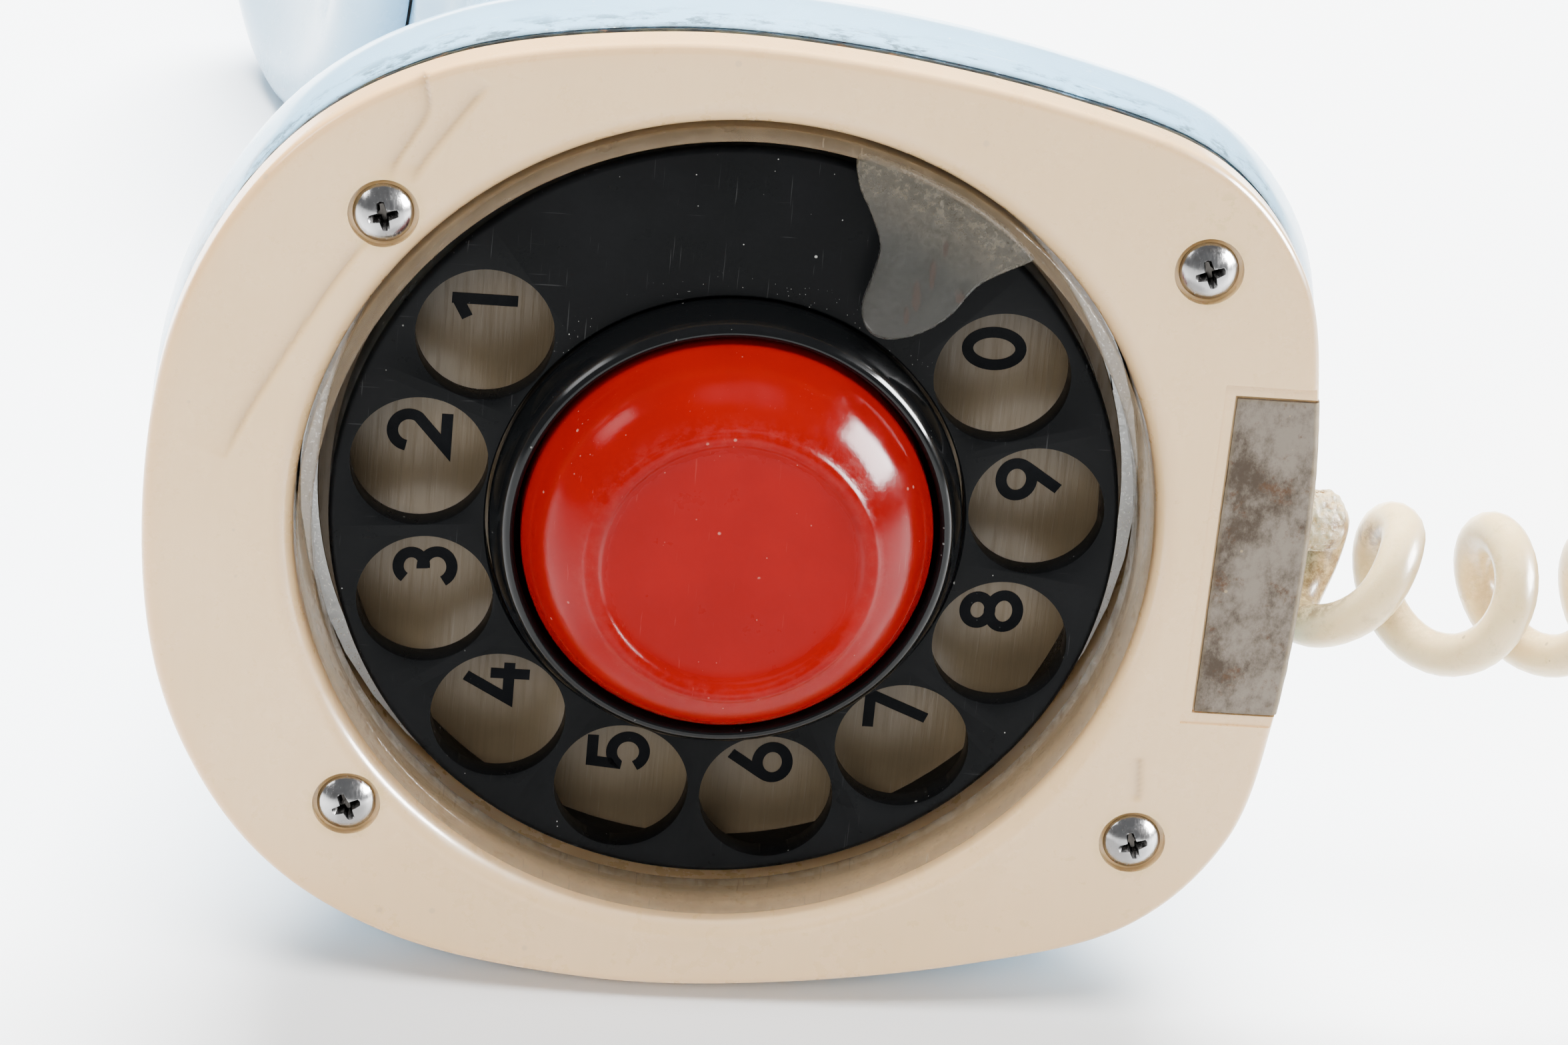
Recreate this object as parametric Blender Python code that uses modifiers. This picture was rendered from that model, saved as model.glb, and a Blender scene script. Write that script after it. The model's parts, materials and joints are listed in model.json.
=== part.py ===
"""One-piece upright telephone with a dial and hook button in its base, lying on its side.

The phone is modelled in a frame of its own, carried by the empty phone_root:
+X points to the phone's back, where the cord leaves, +Y to the side that lies uppermost,
and +Z out of the base. The finger wheel's outer face is at z = 0, so the body runs down to
negative z and ends at the earpiece. A height is counted from the base's face, up the phone.
"""

import math

import bmesh
import bpy
from mathutils import Vector

MM = 0.001
GAP = 0.3  # clearance between touching neighbours, mm
OBJECT_NAME = "upright_telephone"

# Pose of the phone as it lies, in mm and degrees.
LEAN = 5.592
ROOT_PLACE = (-0.095, -108.249, 49.424)

# Base and case.
BASE_Z = 4.0
PLATE_WALL = 1.4
PLATE_SKIRT = 4.0
WELL_R = 40.6
WELL_DEPTH = -10.7
CASE_WALL = 2.4
CASE_START = 5.7
GASKET_Z = (-1.35, -0.35)
SCREW_PLACES = ((-34.0, 30.0), (42.0, 29.6), (-34.0, -30.0), (42.0, -29.6))
SCREW_HEAD_R = 2.8
SCREW_SHANK_R = 1.4
BOSS_R = 3.0
BOSS_Z = (-14.0, -1.9)
STEEL_X = 46.3
STEEL_HALF = 16.2
STEEL_Y = 1.0
STEEL_T = 0.5

# Dial.
WHEEL_R = 37.4
WHEEL_T = 2.6
WHEEL_SKIRT_Z = -5.8
WHEEL_SKIRT_R = 36.2
HOLE_R = 6.48
HOLE_PITCH_R = 29.5
HOLE_COUNT = 10
FIRST_HOLE = 144.1
HOLE_STEP = 27.7
HUB_R = 22.4
HUB_BORE_R = 20.0
NUMBER_PLATE_Z = -7.6
FRAME_Z = (-10.4, -8.9)
GEAR_Z = (-13.2, -11.4)
MODULE = 1.5
MAIN_TEETH = 40
PINION_TEETH = 10
SMALL_MODULE = 0.5
SECOND_TEETH = 24
GOVERNOR_TEETH = 9
BACKLASH = 0.2
SMALL_BACKLASH = 0.12
PINION_ANGLE = 250.0
GOVERNOR_SIDE = 150.0
SECOND_Z = (-16.0, -14.8)
SPINDLE_R = 1.2
CAM_Z = (-19.4, -17.6)
CONTACT_SIDE = 24.0
CONTACT_R = 38.2
CONTACT_Z = -19.7
CONTACT_SIZE = (5.0, 4.0, 5.0)
DIAL_SCREWS = (20.0, 110.0, 300.0)
DIAL_SCREW_R = 36.0
BEZEL_R_IN = 38.9
BEZEL_Z_LOW = -1.6

# Hook button and what it works.
BUTTON_R = 19.4
BUTTON_EDGE_Z = 4.3
CREST_R = 13.2
CREST_Z = 11.2
STEM_R = 3.6
STEM_END_Z = -25.4
CHASSIS_Z = (-24.3, -22.3)
LEVER_PIVOT = (-20.0, -30.0)
LEVER_SIZE = (26.0, 6.0, 1.6)
PIN_R = 1.0
BOARD_Z = (-41.6, -40.0)
BOARD_POSTS = ((20.0, 19.0), (20.0, -19.0))

# Ear end and microphone.
EAR_TILT = 19.5
EAR_CENTRE = (-47.0, 202.0)
EAR_R = 30.0
CAP_DEPTH = 6.5
CAP_GAP = 1.1
MIC_TILT = 21.0
MIC_CENTRE = (-41.3, 34.0)

# Cord. It leaves the phone at a place in the phone's frame. Its route is in the room's axes,
# counted from there: a drooping stretch, then a run, a turn and a short return on the floor.
CORD_R = 2.25
COIL_R = 8.2
STUB_R = 2.75
STUB_X = (49.5, 57.0)
CORD_Z = -9.0
COIL_DROP = -5.8
COIL_ROUTE = (
    (0.0, 0.0, 0.0), (8.0, 0.1, -0.5), (17.0, 0.3, -1.9), (30.0, 0.8, -3.1), (42.0, 1.8, -5.0),
    (54.0, 3.2, -9.2), (66.0, 6.0, -15.8), (78.5, 11.9, -24.8), (89.5, 22.6, -31.9), (97.0, 37.5, -34.35),
    (101.5, 58.1, -34.35), (102.5, 80.1, -34.35), (102.5, 102.1, -34.35), (99.0, 115.6, -34.35),
    (88.5, 123.6, -34.35), (76.0, 122.7, -34.35), (67.0, 113.6, -34.35), (64.5, 100.1, -34.35),
    (64.5, 86.1, -34.35),
)
TAIL_ROUTE = (
    (64.5, 85.8, -40.1), (64.6, 79.0, -40.1), (64.8, 72.0, -36.8), (65.0, 66.5, -33.0), (65.0, 62.1, -32.8),
)
PLUG_SIZE = (21.0, 34.0, 19.4)
PLUG_BACK = (65.0, 61.8, -32.8)

COLORS = {
    "blue": ((0.43, 0.62, 0.72), 0.25, 0.0),
    "cream": ((0.75, 0.65, 0.52), 0.35, 0.0),
    "black": ((0.02, 0.022, 0.024), 0.35, 0.0),
    "rubber": ((0.03, 0.03, 0.03), 0.8, 0.0),
    "red": ((0.60, 0.03, 0.02), 0.15, 0.0),
    "clear": ((0.75, 0.72, 0.66), 0.1, 0.0),
    "number": ((0.55, 0.48, 0.38), 0.45, 0.0),
    "steel": ((0.60, 0.60, 0.60), 0.35, 1.0),
    "patina": ((0.22, 0.18, 0.14), 0.5, 0.9),
    "brass": ((0.70, 0.55, 0.28), 0.3, 1.0),
    "cord": ((0.76, 0.73, 0.62), 0.4, 0.0),
    "stub": ((0.78, 0.68, 0.45), 0.7, 0.0),
    "board": ((0.35, 0.22, 0.08), 0.6, 0.0),
    "copper": ((0.60, 0.28, 0.12), 0.4, 1.0),
    "grey": ((0.25, 0.25, 0.26), 0.5, 0.0),
    "wire": ((0.55, 0.08, 0.05), 0.5, 0.0),
}


def clear_scene():
    for old in list(bpy.data.objects):
        bpy.data.objects.remove(old, do_unlink=True)


def new_collection(name):
    found = bpy.data.collections.new(name)
    bpy.context.scene.collection.children.link(found)
    return found


def new_material(name, key):
    color, roughness, metallic = COLORS[key]
    made = bpy.data.materials.new(name)
    made.use_nodes = True
    shader = made.node_tree.nodes["Principled BSDF"]
    shader.inputs["Base Color"].default_value = (*color, 1.0)
    shader.inputs["Roughness"].default_value = roughness
    shader.inputs["Metallic"].default_value = metallic
    return made


clear_scene()
PARTS = new_collection(OBJECT_NAME)
CUTTERS = new_collection("cutters")
ROOT = bpy.data.objects.new("phone_root", None)
PARTS.objects.link(ROOT)
ROOT.location = Vector(ROOT_PLACE) * MM
ROOT.rotation_euler = (math.radians(90 - LEAN), 0, 0)


# ---------------------------------------------------------------- helpers


def place(obj, color, parent=ROOT):
    """Links an object as a part: its material, its parent and its collection."""
    for holder in list(obj.users_collection):
        holder.objects.unlink(obj)
    PARTS.objects.link(obj)
    obj.data.materials.clear()
    obj.data.materials.append(new_material(obj.name, color))
    obj.parent = parent
    return obj


def local_z(height):
    return BASE_Z - height


def arc(cx, cy, radius, start, end, steps):
    """Points of an arc in degrees, both ends included."""
    angles = [math.radians(start + (end - start) * i / steps) for i in range(steps + 1)]
    return [(cx + radius * math.cos(a), cy + radius * math.sin(a)) for a in angles]


def turned(name, profile, segments=48):
    """Turns a profile about Z. A ring's profile is closed and runs clockwise, seen with r to the
    right and z up. A profile that starts and ends on the axis stays open."""
    mesh = bpy.data.meshes.new(name)
    points = [(r * MM, 0.0, z * MM) for r, z in profile]
    edges = [(i, i + 1) for i in range(len(points) - 1)]
    if profile[0][0] > 0:
        edges.append((len(points) - 1, 0))
    mesh.from_pydata(points, edges, [])
    obj = bpy.data.objects.new(name, mesh)
    CUTTERS.objects.link(obj)
    screw = obj.modifiers.new("turn", "SCREW")
    screw.steps = segments
    screw.render_steps = segments
    screw.use_merge_vertices = True
    screw.merge_threshold = 1e-6
    screw.use_smooth_shade = True
    return obj


def ring_profile(r_in, r_out, z_low, z_high, edge=0.0):
    """A ring's rectangular section, its two outer corners chamfered by edge."""
    if edge:
        return [(r_out - edge, z_high), (r_out, z_high - edge), (r_out, z_low + edge),
                (r_out - edge, z_low), (r_in, z_low), (r_in, z_high)]
    return [(r_out, z_high), (r_out, z_low), (r_in, z_low), (r_in, z_high)]


def disc_profile(radius, z_low, z_high, edge=0.0):
    if edge:
        return [(0, z_high), (radius - edge, z_high), (radius, z_high - edge),
                (radius, z_low + edge), (radius - edge, z_low), (0, z_low)]
    return [(0, z_high), (radius, z_high), (radius, z_low), (0, z_low)]


def box(name, size, centre, bevel=0.0, segments=2):
    """A box in mm, its scale applied, with rounded edges."""
    mesh = bpy.data.meshes.new(name)
    work = bmesh.new()
    bmesh.ops.create_cube(work, size=1.0)
    bmesh.ops.scale(work, vec=Vector(size) * MM, verts=work.verts)
    work.to_mesh(mesh)
    work.free()
    obj = bpy.data.objects.new(name, mesh)
    obj.location = Vector(centre) * MM
    CUTTERS.objects.link(obj)
    if bevel:
        edge = obj.modifiers.new("edges", "BEVEL")
        edge.width = bevel * MM
        edge.segments = segments
    return obj


def rod(name, radius, start, end, sides=12):
    """A round rod between two points, with flat ends."""
    start = Vector(start)
    end = Vector(end)
    along = end - start
    mesh = bpy.data.meshes.new(name)
    work = bmesh.new()
    bmesh.ops.create_cone(work, cap_ends=True, segments=sides, radius1=radius * MM,
                          radius2=radius * MM, depth=along.length * MM)
    work.to_mesh(mesh)
    work.free()
    mesh.shade_smooth()
    mesh.set_sharp_from_angle(angle=math.radians(40))
    obj = bpy.data.objects.new(name, mesh)
    obj.location = (start + end) / 2 * MM
    obj.rotation_mode = "QUATERNION"
    obj.rotation_quaternion = along.to_track_quat("Z", "Y")
    CUTTERS.objects.link(obj)
    return obj


def extruded(name, outline, z_low, z_high, bevel=0.0):
    """A flat outline in mm, filled and extruded between two heights."""
    curve = bpy.data.curves.new(name, "CURVE")
    curve.dimensions = "2D"
    curve.fill_mode = "BOTH"
    curve.extrude = (z_high - z_low) / 2 * MM
    curve.bevel_depth = bevel * MM
    curve.bevel_resolution = 1
    curve.offset = -bevel * MM
    spline = curve.splines.new("POLY")
    spline.points.add(len(outline) - 1)
    for point, (x, y) in zip(spline.points, outline):
        point.co = (x * MM, y * MM, 0.0, 1.0)
    spline.use_cyclic_u = True
    obj = bpy.data.objects.new(name, curve)
    obj.location = (0.0, 0.0, (z_low + z_high) / 2 * MM)
    CUTTERS.objects.link(obj)
    return as_mesh(obj)


def as_mesh(obj):
    """Replaces a curve object by its evaluated mesh, caps welded."""
    bpy.context.view_layer.update()
    graph = bpy.context.evaluated_depsgraph_get()
    mesh = bpy.data.meshes.new_from_object(obj.evaluated_get(graph))
    work = bmesh.new()
    work.from_mesh(mesh)
    bmesh.ops.remove_doubles(work, verts=work.verts, dist=1e-6)
    work.to_mesh(mesh)
    work.free()
    name = obj.name
    where = obj.matrix_world.copy()
    bpy.data.objects.remove(obj, do_unlink=True)
    made = bpy.data.objects.new(name, mesh)
    made.matrix_world = where
    CUTTERS.objects.link(made)
    return made


def smooth_route(points, spacing):
    """Points along a smooth curve through a route, about spacing apart."""
    places = [Vector(p) for p in points]
    ends = [2 * places[0] - places[1]] + places + [2 * places[-1] - places[-2]]
    route = []
    for a, b, c, d in zip(ends, ends[1:], ends[2:], ends[3:]):
        steps = max(1, round((c - b).length / spacing))
        for i in range(steps):
            t = i / steps
            route.append(0.5 * ((2 * b) + (c - a) * t + (2 * a - 5 * b + 4 * c - d) * t * t
                                + (3 * b - a - 3 * c + d) * t ** 3))
    return route + [places[-1]]


def tube(name, points, radius, color, resolution=2, parent=ROOT):
    """A round tube along points in mm, closed with flat caps."""
    curve = bpy.data.curves.new(name, "CURVE")
    curve.dimensions = "3D"
    curve.bevel_depth = radius * MM
    curve.bevel_resolution = resolution
    curve.use_fill_caps = True
    spline = curve.splines.new("POLY")
    spline.points.add(len(points) - 1)
    for point, place_mm in zip(spline.points, points):
        point.co = (*(Vector(place_mm) * MM), 1.0)
    obj = bpy.data.objects.new(name, curve)
    PARTS.objects.link(obj)
    curve.materials.append(new_material(name, color))
    obj.parent = parent
    return obj


def shape_with(obj, cutter, operation="DIFFERENCE"):
    """Cuts or joins another shape, which is kept as a hidden guide."""
    cutter.display_type = "WIRE"
    cutter.hide_render = True
    cutter.parent = obj.parent
    change = obj.modifiers.new(operation.lower(), "BOOLEAN")
    change.operation = operation
    change.object = cutter
    return obj


def loft(name, rings):
    """An open surface through rings of equal length."""
    count = len(rings[0])
    mesh = bpy.data.meshes.new(name)
    points = [Vector(p) * MM for ring in rings for p in ring]
    faces = []
    for level in range(len(rings) - 1):
        for i in range(count):
            j = (i + 1) % count
            low = level * count
            faces.append((low + i, low + j, low + count + j, low + count + i))
    mesh.from_pydata(points, [], faces)
    mesh.shade_smooth()
    obj = bpy.data.objects.new(name, mesh)
    CUTTERS.objects.link(obj)
    return obj


def thicken(obj, wall):
    """Gives an open surface an inward wall. The loft's faces look outwards."""
    wall_maker = obj.modifiers.new("wall", "SOLIDIFY")
    wall_maker.thickness = wall * MM
    wall_maker.offset = -1.0
    wall_maker.use_even_offset = True
    return obj


# ---------------------------------------------------------------- base outline and case

HALF_OUTLINE = ((55.0, 0.0), (54.2, 16.0), (51.3, 29.3), (42.5, 39.2), (27.6, 44.2), (8.0, 47.4),
                (-10.0, 47.8), (-29.0, 44.2), (-43.0, 35.2), (-52.0, 19.5), (-54.6, 0.0))


def base_outline():
    """The base's closed outline: a rounded D, flatter at the back, as one smooth curve."""
    lower = [(x, -y) for x, y in HALF_OUTLINE[-2:0:-1]]
    knots = [Vector(p) for p in HALF_OUTLINE + tuple(lower)]
    count = len(knots)
    points = []
    for i in range(count):
        a, b, c, d = (knots[(i + k) % count] for k in (-1, 0, 1, 2))
        for step in range(6):
            t = step / 6
            points.append(0.5 * ((2 * b) + (c - a) * t + (2 * a - 5 * b + 4 * c - d) * t * t
                                 + (3 * b - a - 3 * c + d) * t ** 3))
    return points


OUTLINE = base_outline()


def outline_reach(angle):
    """Distance from the dial's axis to the base outline in one direction."""
    ray = Vector((math.cos(angle), math.sin(angle)))
    side = Vector((-ray.y, ray.x))
    for a, b in zip(OUTLINE, OUTLINE[1:] + OUTLINE[:1]):
        sa, sb = a.dot(side), b.dot(side)
        if sa <= 0 < sb:
            hit = a.lerp(b, sa / (sa - sb))
            if hit.dot(ray) > 0:
                return hit.length
    return OUTLINE[0].length


# Level sections of the body: height up the phone, front x, back x, half width and how much of
# the base's own outline the section keeps (1 at the foot, 0 where it is an ellipse).
LEVELS = (
    (CASE_START, -54.3, 54.7, 47.6, 1.0),
    (9.0, -54.8, 55.7, 48.4, 1.0),
    (14.0, -54.9, 56.2, 48.6, 1.0),
    (19.0, -54.2, 55.4, 47.6, 0.95),
    (25.0, -52.4, 53.2, 45.2, 0.85),
    (33.0, -49.2, 49.4, 41.8, 0.65),
    (43.0, -45.0, 44.6, 38.0, 0.4),
    (56.0, -39.8, 38.8, 34.0, 0.15),
    (72.0, -35.0, 33.0, 30.4, 0.0),
    (90.0, -31.2, 27.8, 27.6, 0.0),
    (110.0, -28.0, 23.2, 25.7, 0.0),
    (132.0, -25.6, 18.6, 24.7, 0.0),
)
# Sections of the head turn about one line: angle, near reach, far reach, half width.
HEAD_PIVOT = (-30.4, 156.0)
HEAD = (
    (0.0, 6.0, 45.0, 24.6),
    (15.0, 6.6, 46.8, 24.9),
    (30.0, 7.6, 50.0, 25.6),
    (45.0, 9.2, 56.0, 26.8),
    (60.0, 11.2, 64.0, 28.2),
    (75.0, 14.0, 72.2, 29.3),
    (90.0, 16.4, 78.0, 29.9),
)


def ear_point(depth):
    """A place on the ear's axis, depth behind its face: x and height."""
    tilt = math.radians(EAR_TILT)
    return EAR_CENTRE[0] + depth * math.cos(tilt), EAR_CENTRE[1] + depth * math.sin(tilt)


def body_stations():
    """Every section as centre x, centre height, tilt, half depth, half width, outline share."""
    stations = []
    for height, front, back, half_width, share in LEVELS:
        stations.append(((front + back) / 2, height, 0.0, (back - front) / 2, half_width, share))
    for angle, near, far, half_width in HEAD:
        turn = math.radians(angle)
        middle = (near + far) / 2
        stations.append((HEAD_PIVOT[0] + middle * math.cos(turn),
                         HEAD_PIVOT[1] + middle * math.sin(turn), angle, (far - near) / 2,
                         half_width, 0.0))
    x, height = ear_point(CAP_DEPTH + CAP_GAP)
    stations.append((x, height, 90 + EAR_TILT, EAR_R, EAR_R, 0.0))
    return stations


def section_ring(station, count):
    """One closed section of the body, as points in the phone's frame."""
    cx, height, tilt, half_depth, half_width, share = station
    turn = math.radians(tilt)
    ring = []
    for i in range(count):
        angle = 2 * math.pi * i / count
        reach = outline_reach(angle)
        own_x = reach * math.cos(angle) / 54.8
        own_y = reach * math.sin(angle) / 47.9
        along = (share * own_x + (1 - share) * math.cos(angle)) * half_depth
        across = (share * own_y + (1 - share) * math.sin(angle)) * half_width
        ring.append((cx + along * math.cos(turn), across,
                     local_z(height + along * math.sin(turn))))
    return ring


def axis_frame(name, x, z, rise):
    """An empty whose +Z looks out of the phone's front, rise degrees above level in its frame."""
    frame = bpy.data.objects.new(name, None)
    PARTS.objects.link(frame)
    frame.parent = ROOT
    frame.location = Vector((x, 0.0, z)) * MM
    turn = math.radians(rise)
    frame.rotation_mode = "QUATERNION"
    frame.rotation_quaternion = Vector((-math.cos(turn), 0, math.sin(turn))).to_track_quat("Z", "Y")
    return frame


EAR = axis_frame("ear_frame", EAR_CENTRE[0], local_z(EAR_CENTRE[1]), EAR_TILT)
MIC = axis_frame("mic_frame", MIC_CENTRE[0], local_z(MIC_CENTRE[1]), -MIC_TILT)


def add_boss(shell, index, x, y):
    """A boss for a base screw, tied to the case's wall by a rib."""
    angle = math.atan2(y, x)
    start = math.hypot(x, y)
    end = outline_reach(angle) - CASE_WALL / 2
    middle = (start + end) / 2
    rib = box(f"rib_{index}", (end - start, 2.6, 8.0),
              (middle * math.cos(angle), middle * math.sin(angle), -7.2))
    rib.rotation_euler.z = angle
    shape_with(shell, rib, "UNION")
    boss = rod(f"boss_{index}", BOSS_R, (x, y, BOSS_Z[0]), (x, y, BOSS_Z[1]))
    shape_with(shell, boss, "UNION")
    pilot = rod(f"pilot_{index}", SCREW_SHANK_R + GAP, (x, y, BOSS_Z[0] + 1.2), (x, y, 4.0))
    shape_with(shell, pilot)


def case_shell():
    rings = [section_ring(station, 36) for station in body_stations()]
    shell = loft("case_shell", [ring[::-1] for ring in rings])
    place(shell, "blue")
    thicken(shell, CASE_WALL)
    hole = rod("cord_hole", STUB_R + 0.6, (44.0, 0.0, CORD_Z), (64.0, 0.0, CORD_Z))
    shape_with(shell, hole)
    for i, (x, y) in enumerate(SCREW_PLACES):
        add_boss(shell, i, x, y)
    for i in range(5):
        slot = box(f"mouth_slot_{i}", (1.6, 11.0, 30.0), (0.0, 0.0, 0.0))
        slot.location = Vector(((i - 2) * 3.6, 0.0, 8.0)) * MM
        shape_with(shell, slot)
        slot.parent = MIC
    return shell


# ---------------------------------------------------------------- base plate and its fittings


def outline_ring(inset, z, count):
    """The base outline drawn in by inset, at height z."""
    ring = []
    for i in range(count):
        angle = 2 * math.pi * i / count
        reach = outline_reach(angle) - inset
        ring.append((reach * math.cos(angle), reach * math.sin(angle), z))
    return ring


def circle_ring(radius, z, count):
    turn = 2 * math.pi / count
    return [(radius * math.cos(turn * i), radius * math.sin(turn * i), z) for i in range(count)]


def base_plate():
    """A moulded pan: skirt, flat face, rounded lip and the wall of the dial's well."""
    count = 48
    rings = [outline_ring(0.0, BASE_Z - PLATE_SKIRT, count),
             outline_ring(0.0, BASE_Z - 1.4, count),
             outline_ring(0.4, BASE_Z - 0.45, count),
             outline_ring(1.4, BASE_Z, count)]
    rings += [circle_ring(r, z, count) for r, z in arc(WELL_R + 2.4, BASE_Z - 2.4, 2.4, 90, 180, 4)]
    rings.append(circle_ring(WELL_R, WELL_DEPTH, count))
    plate = loft("base_plate", rings)
    place(plate, "cream")
    thicken(plate, PLATE_WALL)
    for i, (x, y) in enumerate(SCREW_PLACES):
        seat = rod(f"seat_{i}", SCREW_HEAD_R + 0.5, (x, y, BASE_Z - 0.9), (x, y, BASE_Z + 4))
        shape_with(plate, seat)
        bore = rod(f"bore_{i}", SCREW_SHANK_R + GAP, (x, y, BASE_Z - 6), (x, y, BASE_Z + 4))
        shape_with(plate, bore)
    width = 2 * (STEEL_HALF + 1.4)
    recess = box("steel_recess", (20.0, width, 2.0), (STEEL_X + 8.6, STEEL_Y, BASE_Z + 0.2))
    shape_with(plate, recess)
    return plate


def steel_plate():
    """A thin plate lying in the plate's recess, its outer edge following the base outline."""
    ring = [p for p in outline_ring(0.55, 0.0, 180) if abs(p[1] - STEEL_Y) < STEEL_HALF and p[0] > 0]
    edge = sorted(((p[0], p[1]) for p in ring), key=lambda p: p[1])
    outline = [(STEEL_X, STEEL_Y - STEEL_HALF)] + edge + [(STEEL_X, STEEL_Y + STEEL_HALF)]
    low = BASE_Z - 0.5
    plate = extruded("rear_steel_plate", outline, low, low + STEEL_T)
    return place(plate, "patina")


def gasket():
    count = 64
    low, high = GASKET_Z
    rings = [outline_ring(0.5, high, count), outline_ring(0.5, low, count),
             outline_ring(2.6, low, count), outline_ring(2.6, high, count)]
    band = loft("base_gasket", [r[::-1] for r in rings + [rings[0]]])
    weld = band.modifiers.new("weld", "WELD")
    weld.merge_threshold = 1e-6
    return place(band, "rubber")


def base_screw(index, x, y):
    """A domed screw with a cross recess, its head in the plate's counterbore."""
    top = BASE_Z + 0.9
    low = BASE_Z - 0.6
    dome = [(0, top)] + [(SCREW_HEAD_R * s, low + 0.4 + (top - low - 0.4) * math.sqrt(1 - s * s))
                         for s in (0.35, 0.65, 0.85, 0.96)]
    profile = dome + [(SCREW_HEAD_R, low), (SCREW_SHANK_R, low), (SCREW_SHANK_R, low - 13),
                      (SCREW_SHANK_R - 0.6, low - 14), (0, low - 14)]
    screw = turned(f"base_screw_{index}", profile, 16)
    screw.location = Vector((x, y, 0)) * MM
    place(screw, "steel")
    for turn in (0, 90):
        slot = box(f"cross_{index}_{turn}", (2.9, 0.75, 2.4), (x, y, top))
        slot.rotation_euler.z = math.radians(turn + 20 * index)
        shape_with(screw, slot)
    return screw


# ---------------------------------------------------------------- dial


def finger_wheel():
    """The wheel: a flat face with ten finger holes and a skirt around its rim."""
    profile = [(HUB_R + GAP, 0.0), (WHEEL_R - 0.5, 0.0), (WHEEL_R, -0.5), (WHEEL_R, WHEEL_SKIRT_Z),
               (WHEEL_SKIRT_R, WHEEL_SKIRT_Z), (WHEEL_SKIRT_R, -WHEEL_T), (HUB_R + GAP, -WHEEL_T)]
    wheel = turned("finger_wheel", profile, 60)
    place(wheel, "black")
    for i in range(HOLE_COUNT):
        angle = math.radians(FIRST_HOLE + HOLE_STEP * i)
        x, y = HOLE_PITCH_R * math.cos(angle), HOLE_PITCH_R * math.sin(angle)
        shape_with(wheel, rod(f"finger_hole_{i}", HOLE_R, (x, y, -4.5), (x, y, 3.0), 20))
    return wheel


def hub_ring():
    """The raised glossy ring around the button, drawn out below into the hub tube."""
    low = GEAR_Z[0] - GAP
    profile = [(HUB_BORE_R, 3.3), (HUB_BORE_R + 0.2, 3.8), (HUB_BORE_R + 0.9, 4.1),
               (HUB_R - 1.1, 3.6), (HUB_R - 0.6, 2.2), (HUB_R, 0.8), (HUB_R, low),
               (HUB_BORE_R, low)]
    return place(turned("hub_ring", profile, 48), "black")


def number_plate():
    profile = ring_profile(HUB_R + 0.8, WELL_R - 2.0, NUMBER_PLATE_Z - 1.0, NUMBER_PLATE_Z)
    return place(turned("number_plate", profile, 48), "number")


def dial_bezel():
    """A clear ring in the well with the finger stop reaching in over the wheel."""
    z_high = BASE_Z - 0.6
    r_out = WELL_R - GAP
    profile = [(BEZEL_R_IN, z_high), (r_out - 0.6, z_high), (r_out, z_high - 0.9),
               (r_out, BEZEL_Z_LOW), (BEZEL_R_IN, BEZEL_Z_LOW)]
    ring = turned("dial_bezel", profile, 60)
    place(ring, "clear")
    tab = extruded("finger_stop", finger_stop_outline(), z_high - 1.3, z_high - 0.1, 0.2)
    shape_with(ring, tab, "UNION")
    return ring


def finger_stop_outline():
    """The stop's outline: a convex side, a round tip and an S-shaped side."""
    knots = ((48.5, 39.6), (51.5, 34.0), (51.3, 30.0), (53.0, 26.8), (57.5, 24.4), (62.5, 24.1),
             (66.2, 25.8), (67.4, 28.8), (68.8, 31.8), (72.6, 34.4), (75.8, 36.6), (77.0, 39.6))
    corners = [(r * math.cos(math.radians(a)), r * math.sin(math.radians(a)), 0.0) for a, r in knots]
    return [(p.x, p.y) for p in smooth_route(corners, 1.8)]


def spur_gear(name, teeth, module, backlash, z_span, turn):
    """A spur gear, its teeth taken from involute ones at root and tip, with backlash in mm."""
    pressure = math.radians(20)
    pitch_r = teeth * module / 2
    base_r = pitch_r * math.cos(pressure)
    tip_r = pitch_r + 0.8 * module
    root_r = pitch_r - 1.2 * module
    half_tooth = math.pi / (2 * teeth) - backlash / (2 * pitch_r)
    spread = math.tan(pressure) - pressure

    def half_angle(radius):
        if radius <= base_r:
            return half_tooth + spread
        roll = math.acos(base_r / radius)
        return half_tooth + spread - (math.tan(roll) - roll)

    outline = []
    for tooth in range(teeth):
        middle = 2 * math.pi * tooth / teeth + turn
        for r, side in ((root_r, -1), (tip_r, -1), (tip_r, 1), (root_r, 1)):
            a = middle + side * half_angle(r)
            outline.append((r * math.cos(a), r * math.sin(a)))
    return extruded(name, outline, *z_span)


def polar(radius, degrees):
    return radius * math.cos(math.radians(degrees)), radius * math.sin(math.radians(degrees))


PINION_X, PINION_Y = polar((MAIN_TEETH + PINION_TEETH) * MODULE / 2, PINION_ANGLE)
GOVERNOR_OFFSET = (SECOND_TEETH + GOVERNOR_TEETH) * SMALL_MODULE / 2
GOVERNOR_X = PINION_X + polar(GOVERNOR_OFFSET, GOVERNOR_SIDE)[0]
GOVERNOR_Y = PINION_Y + polar(GOVERNOR_OFFSET, GOVERNOR_SIDE)[1]


def main_gear():
    turn = math.radians(PINION_ANGLE)
    gear = spur_gear("main_gear", MAIN_TEETH, MODULE, BACKLASH, GEAR_Z, turn)
    place(gear, "brass")
    bore = rod("main_gear_bore", HUB_R + GAP, (0, 0, GEAR_Z[0] - 2), (0, 0, GEAR_Z[1] + 2), 40)
    return shape_with(gear, bore)


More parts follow.
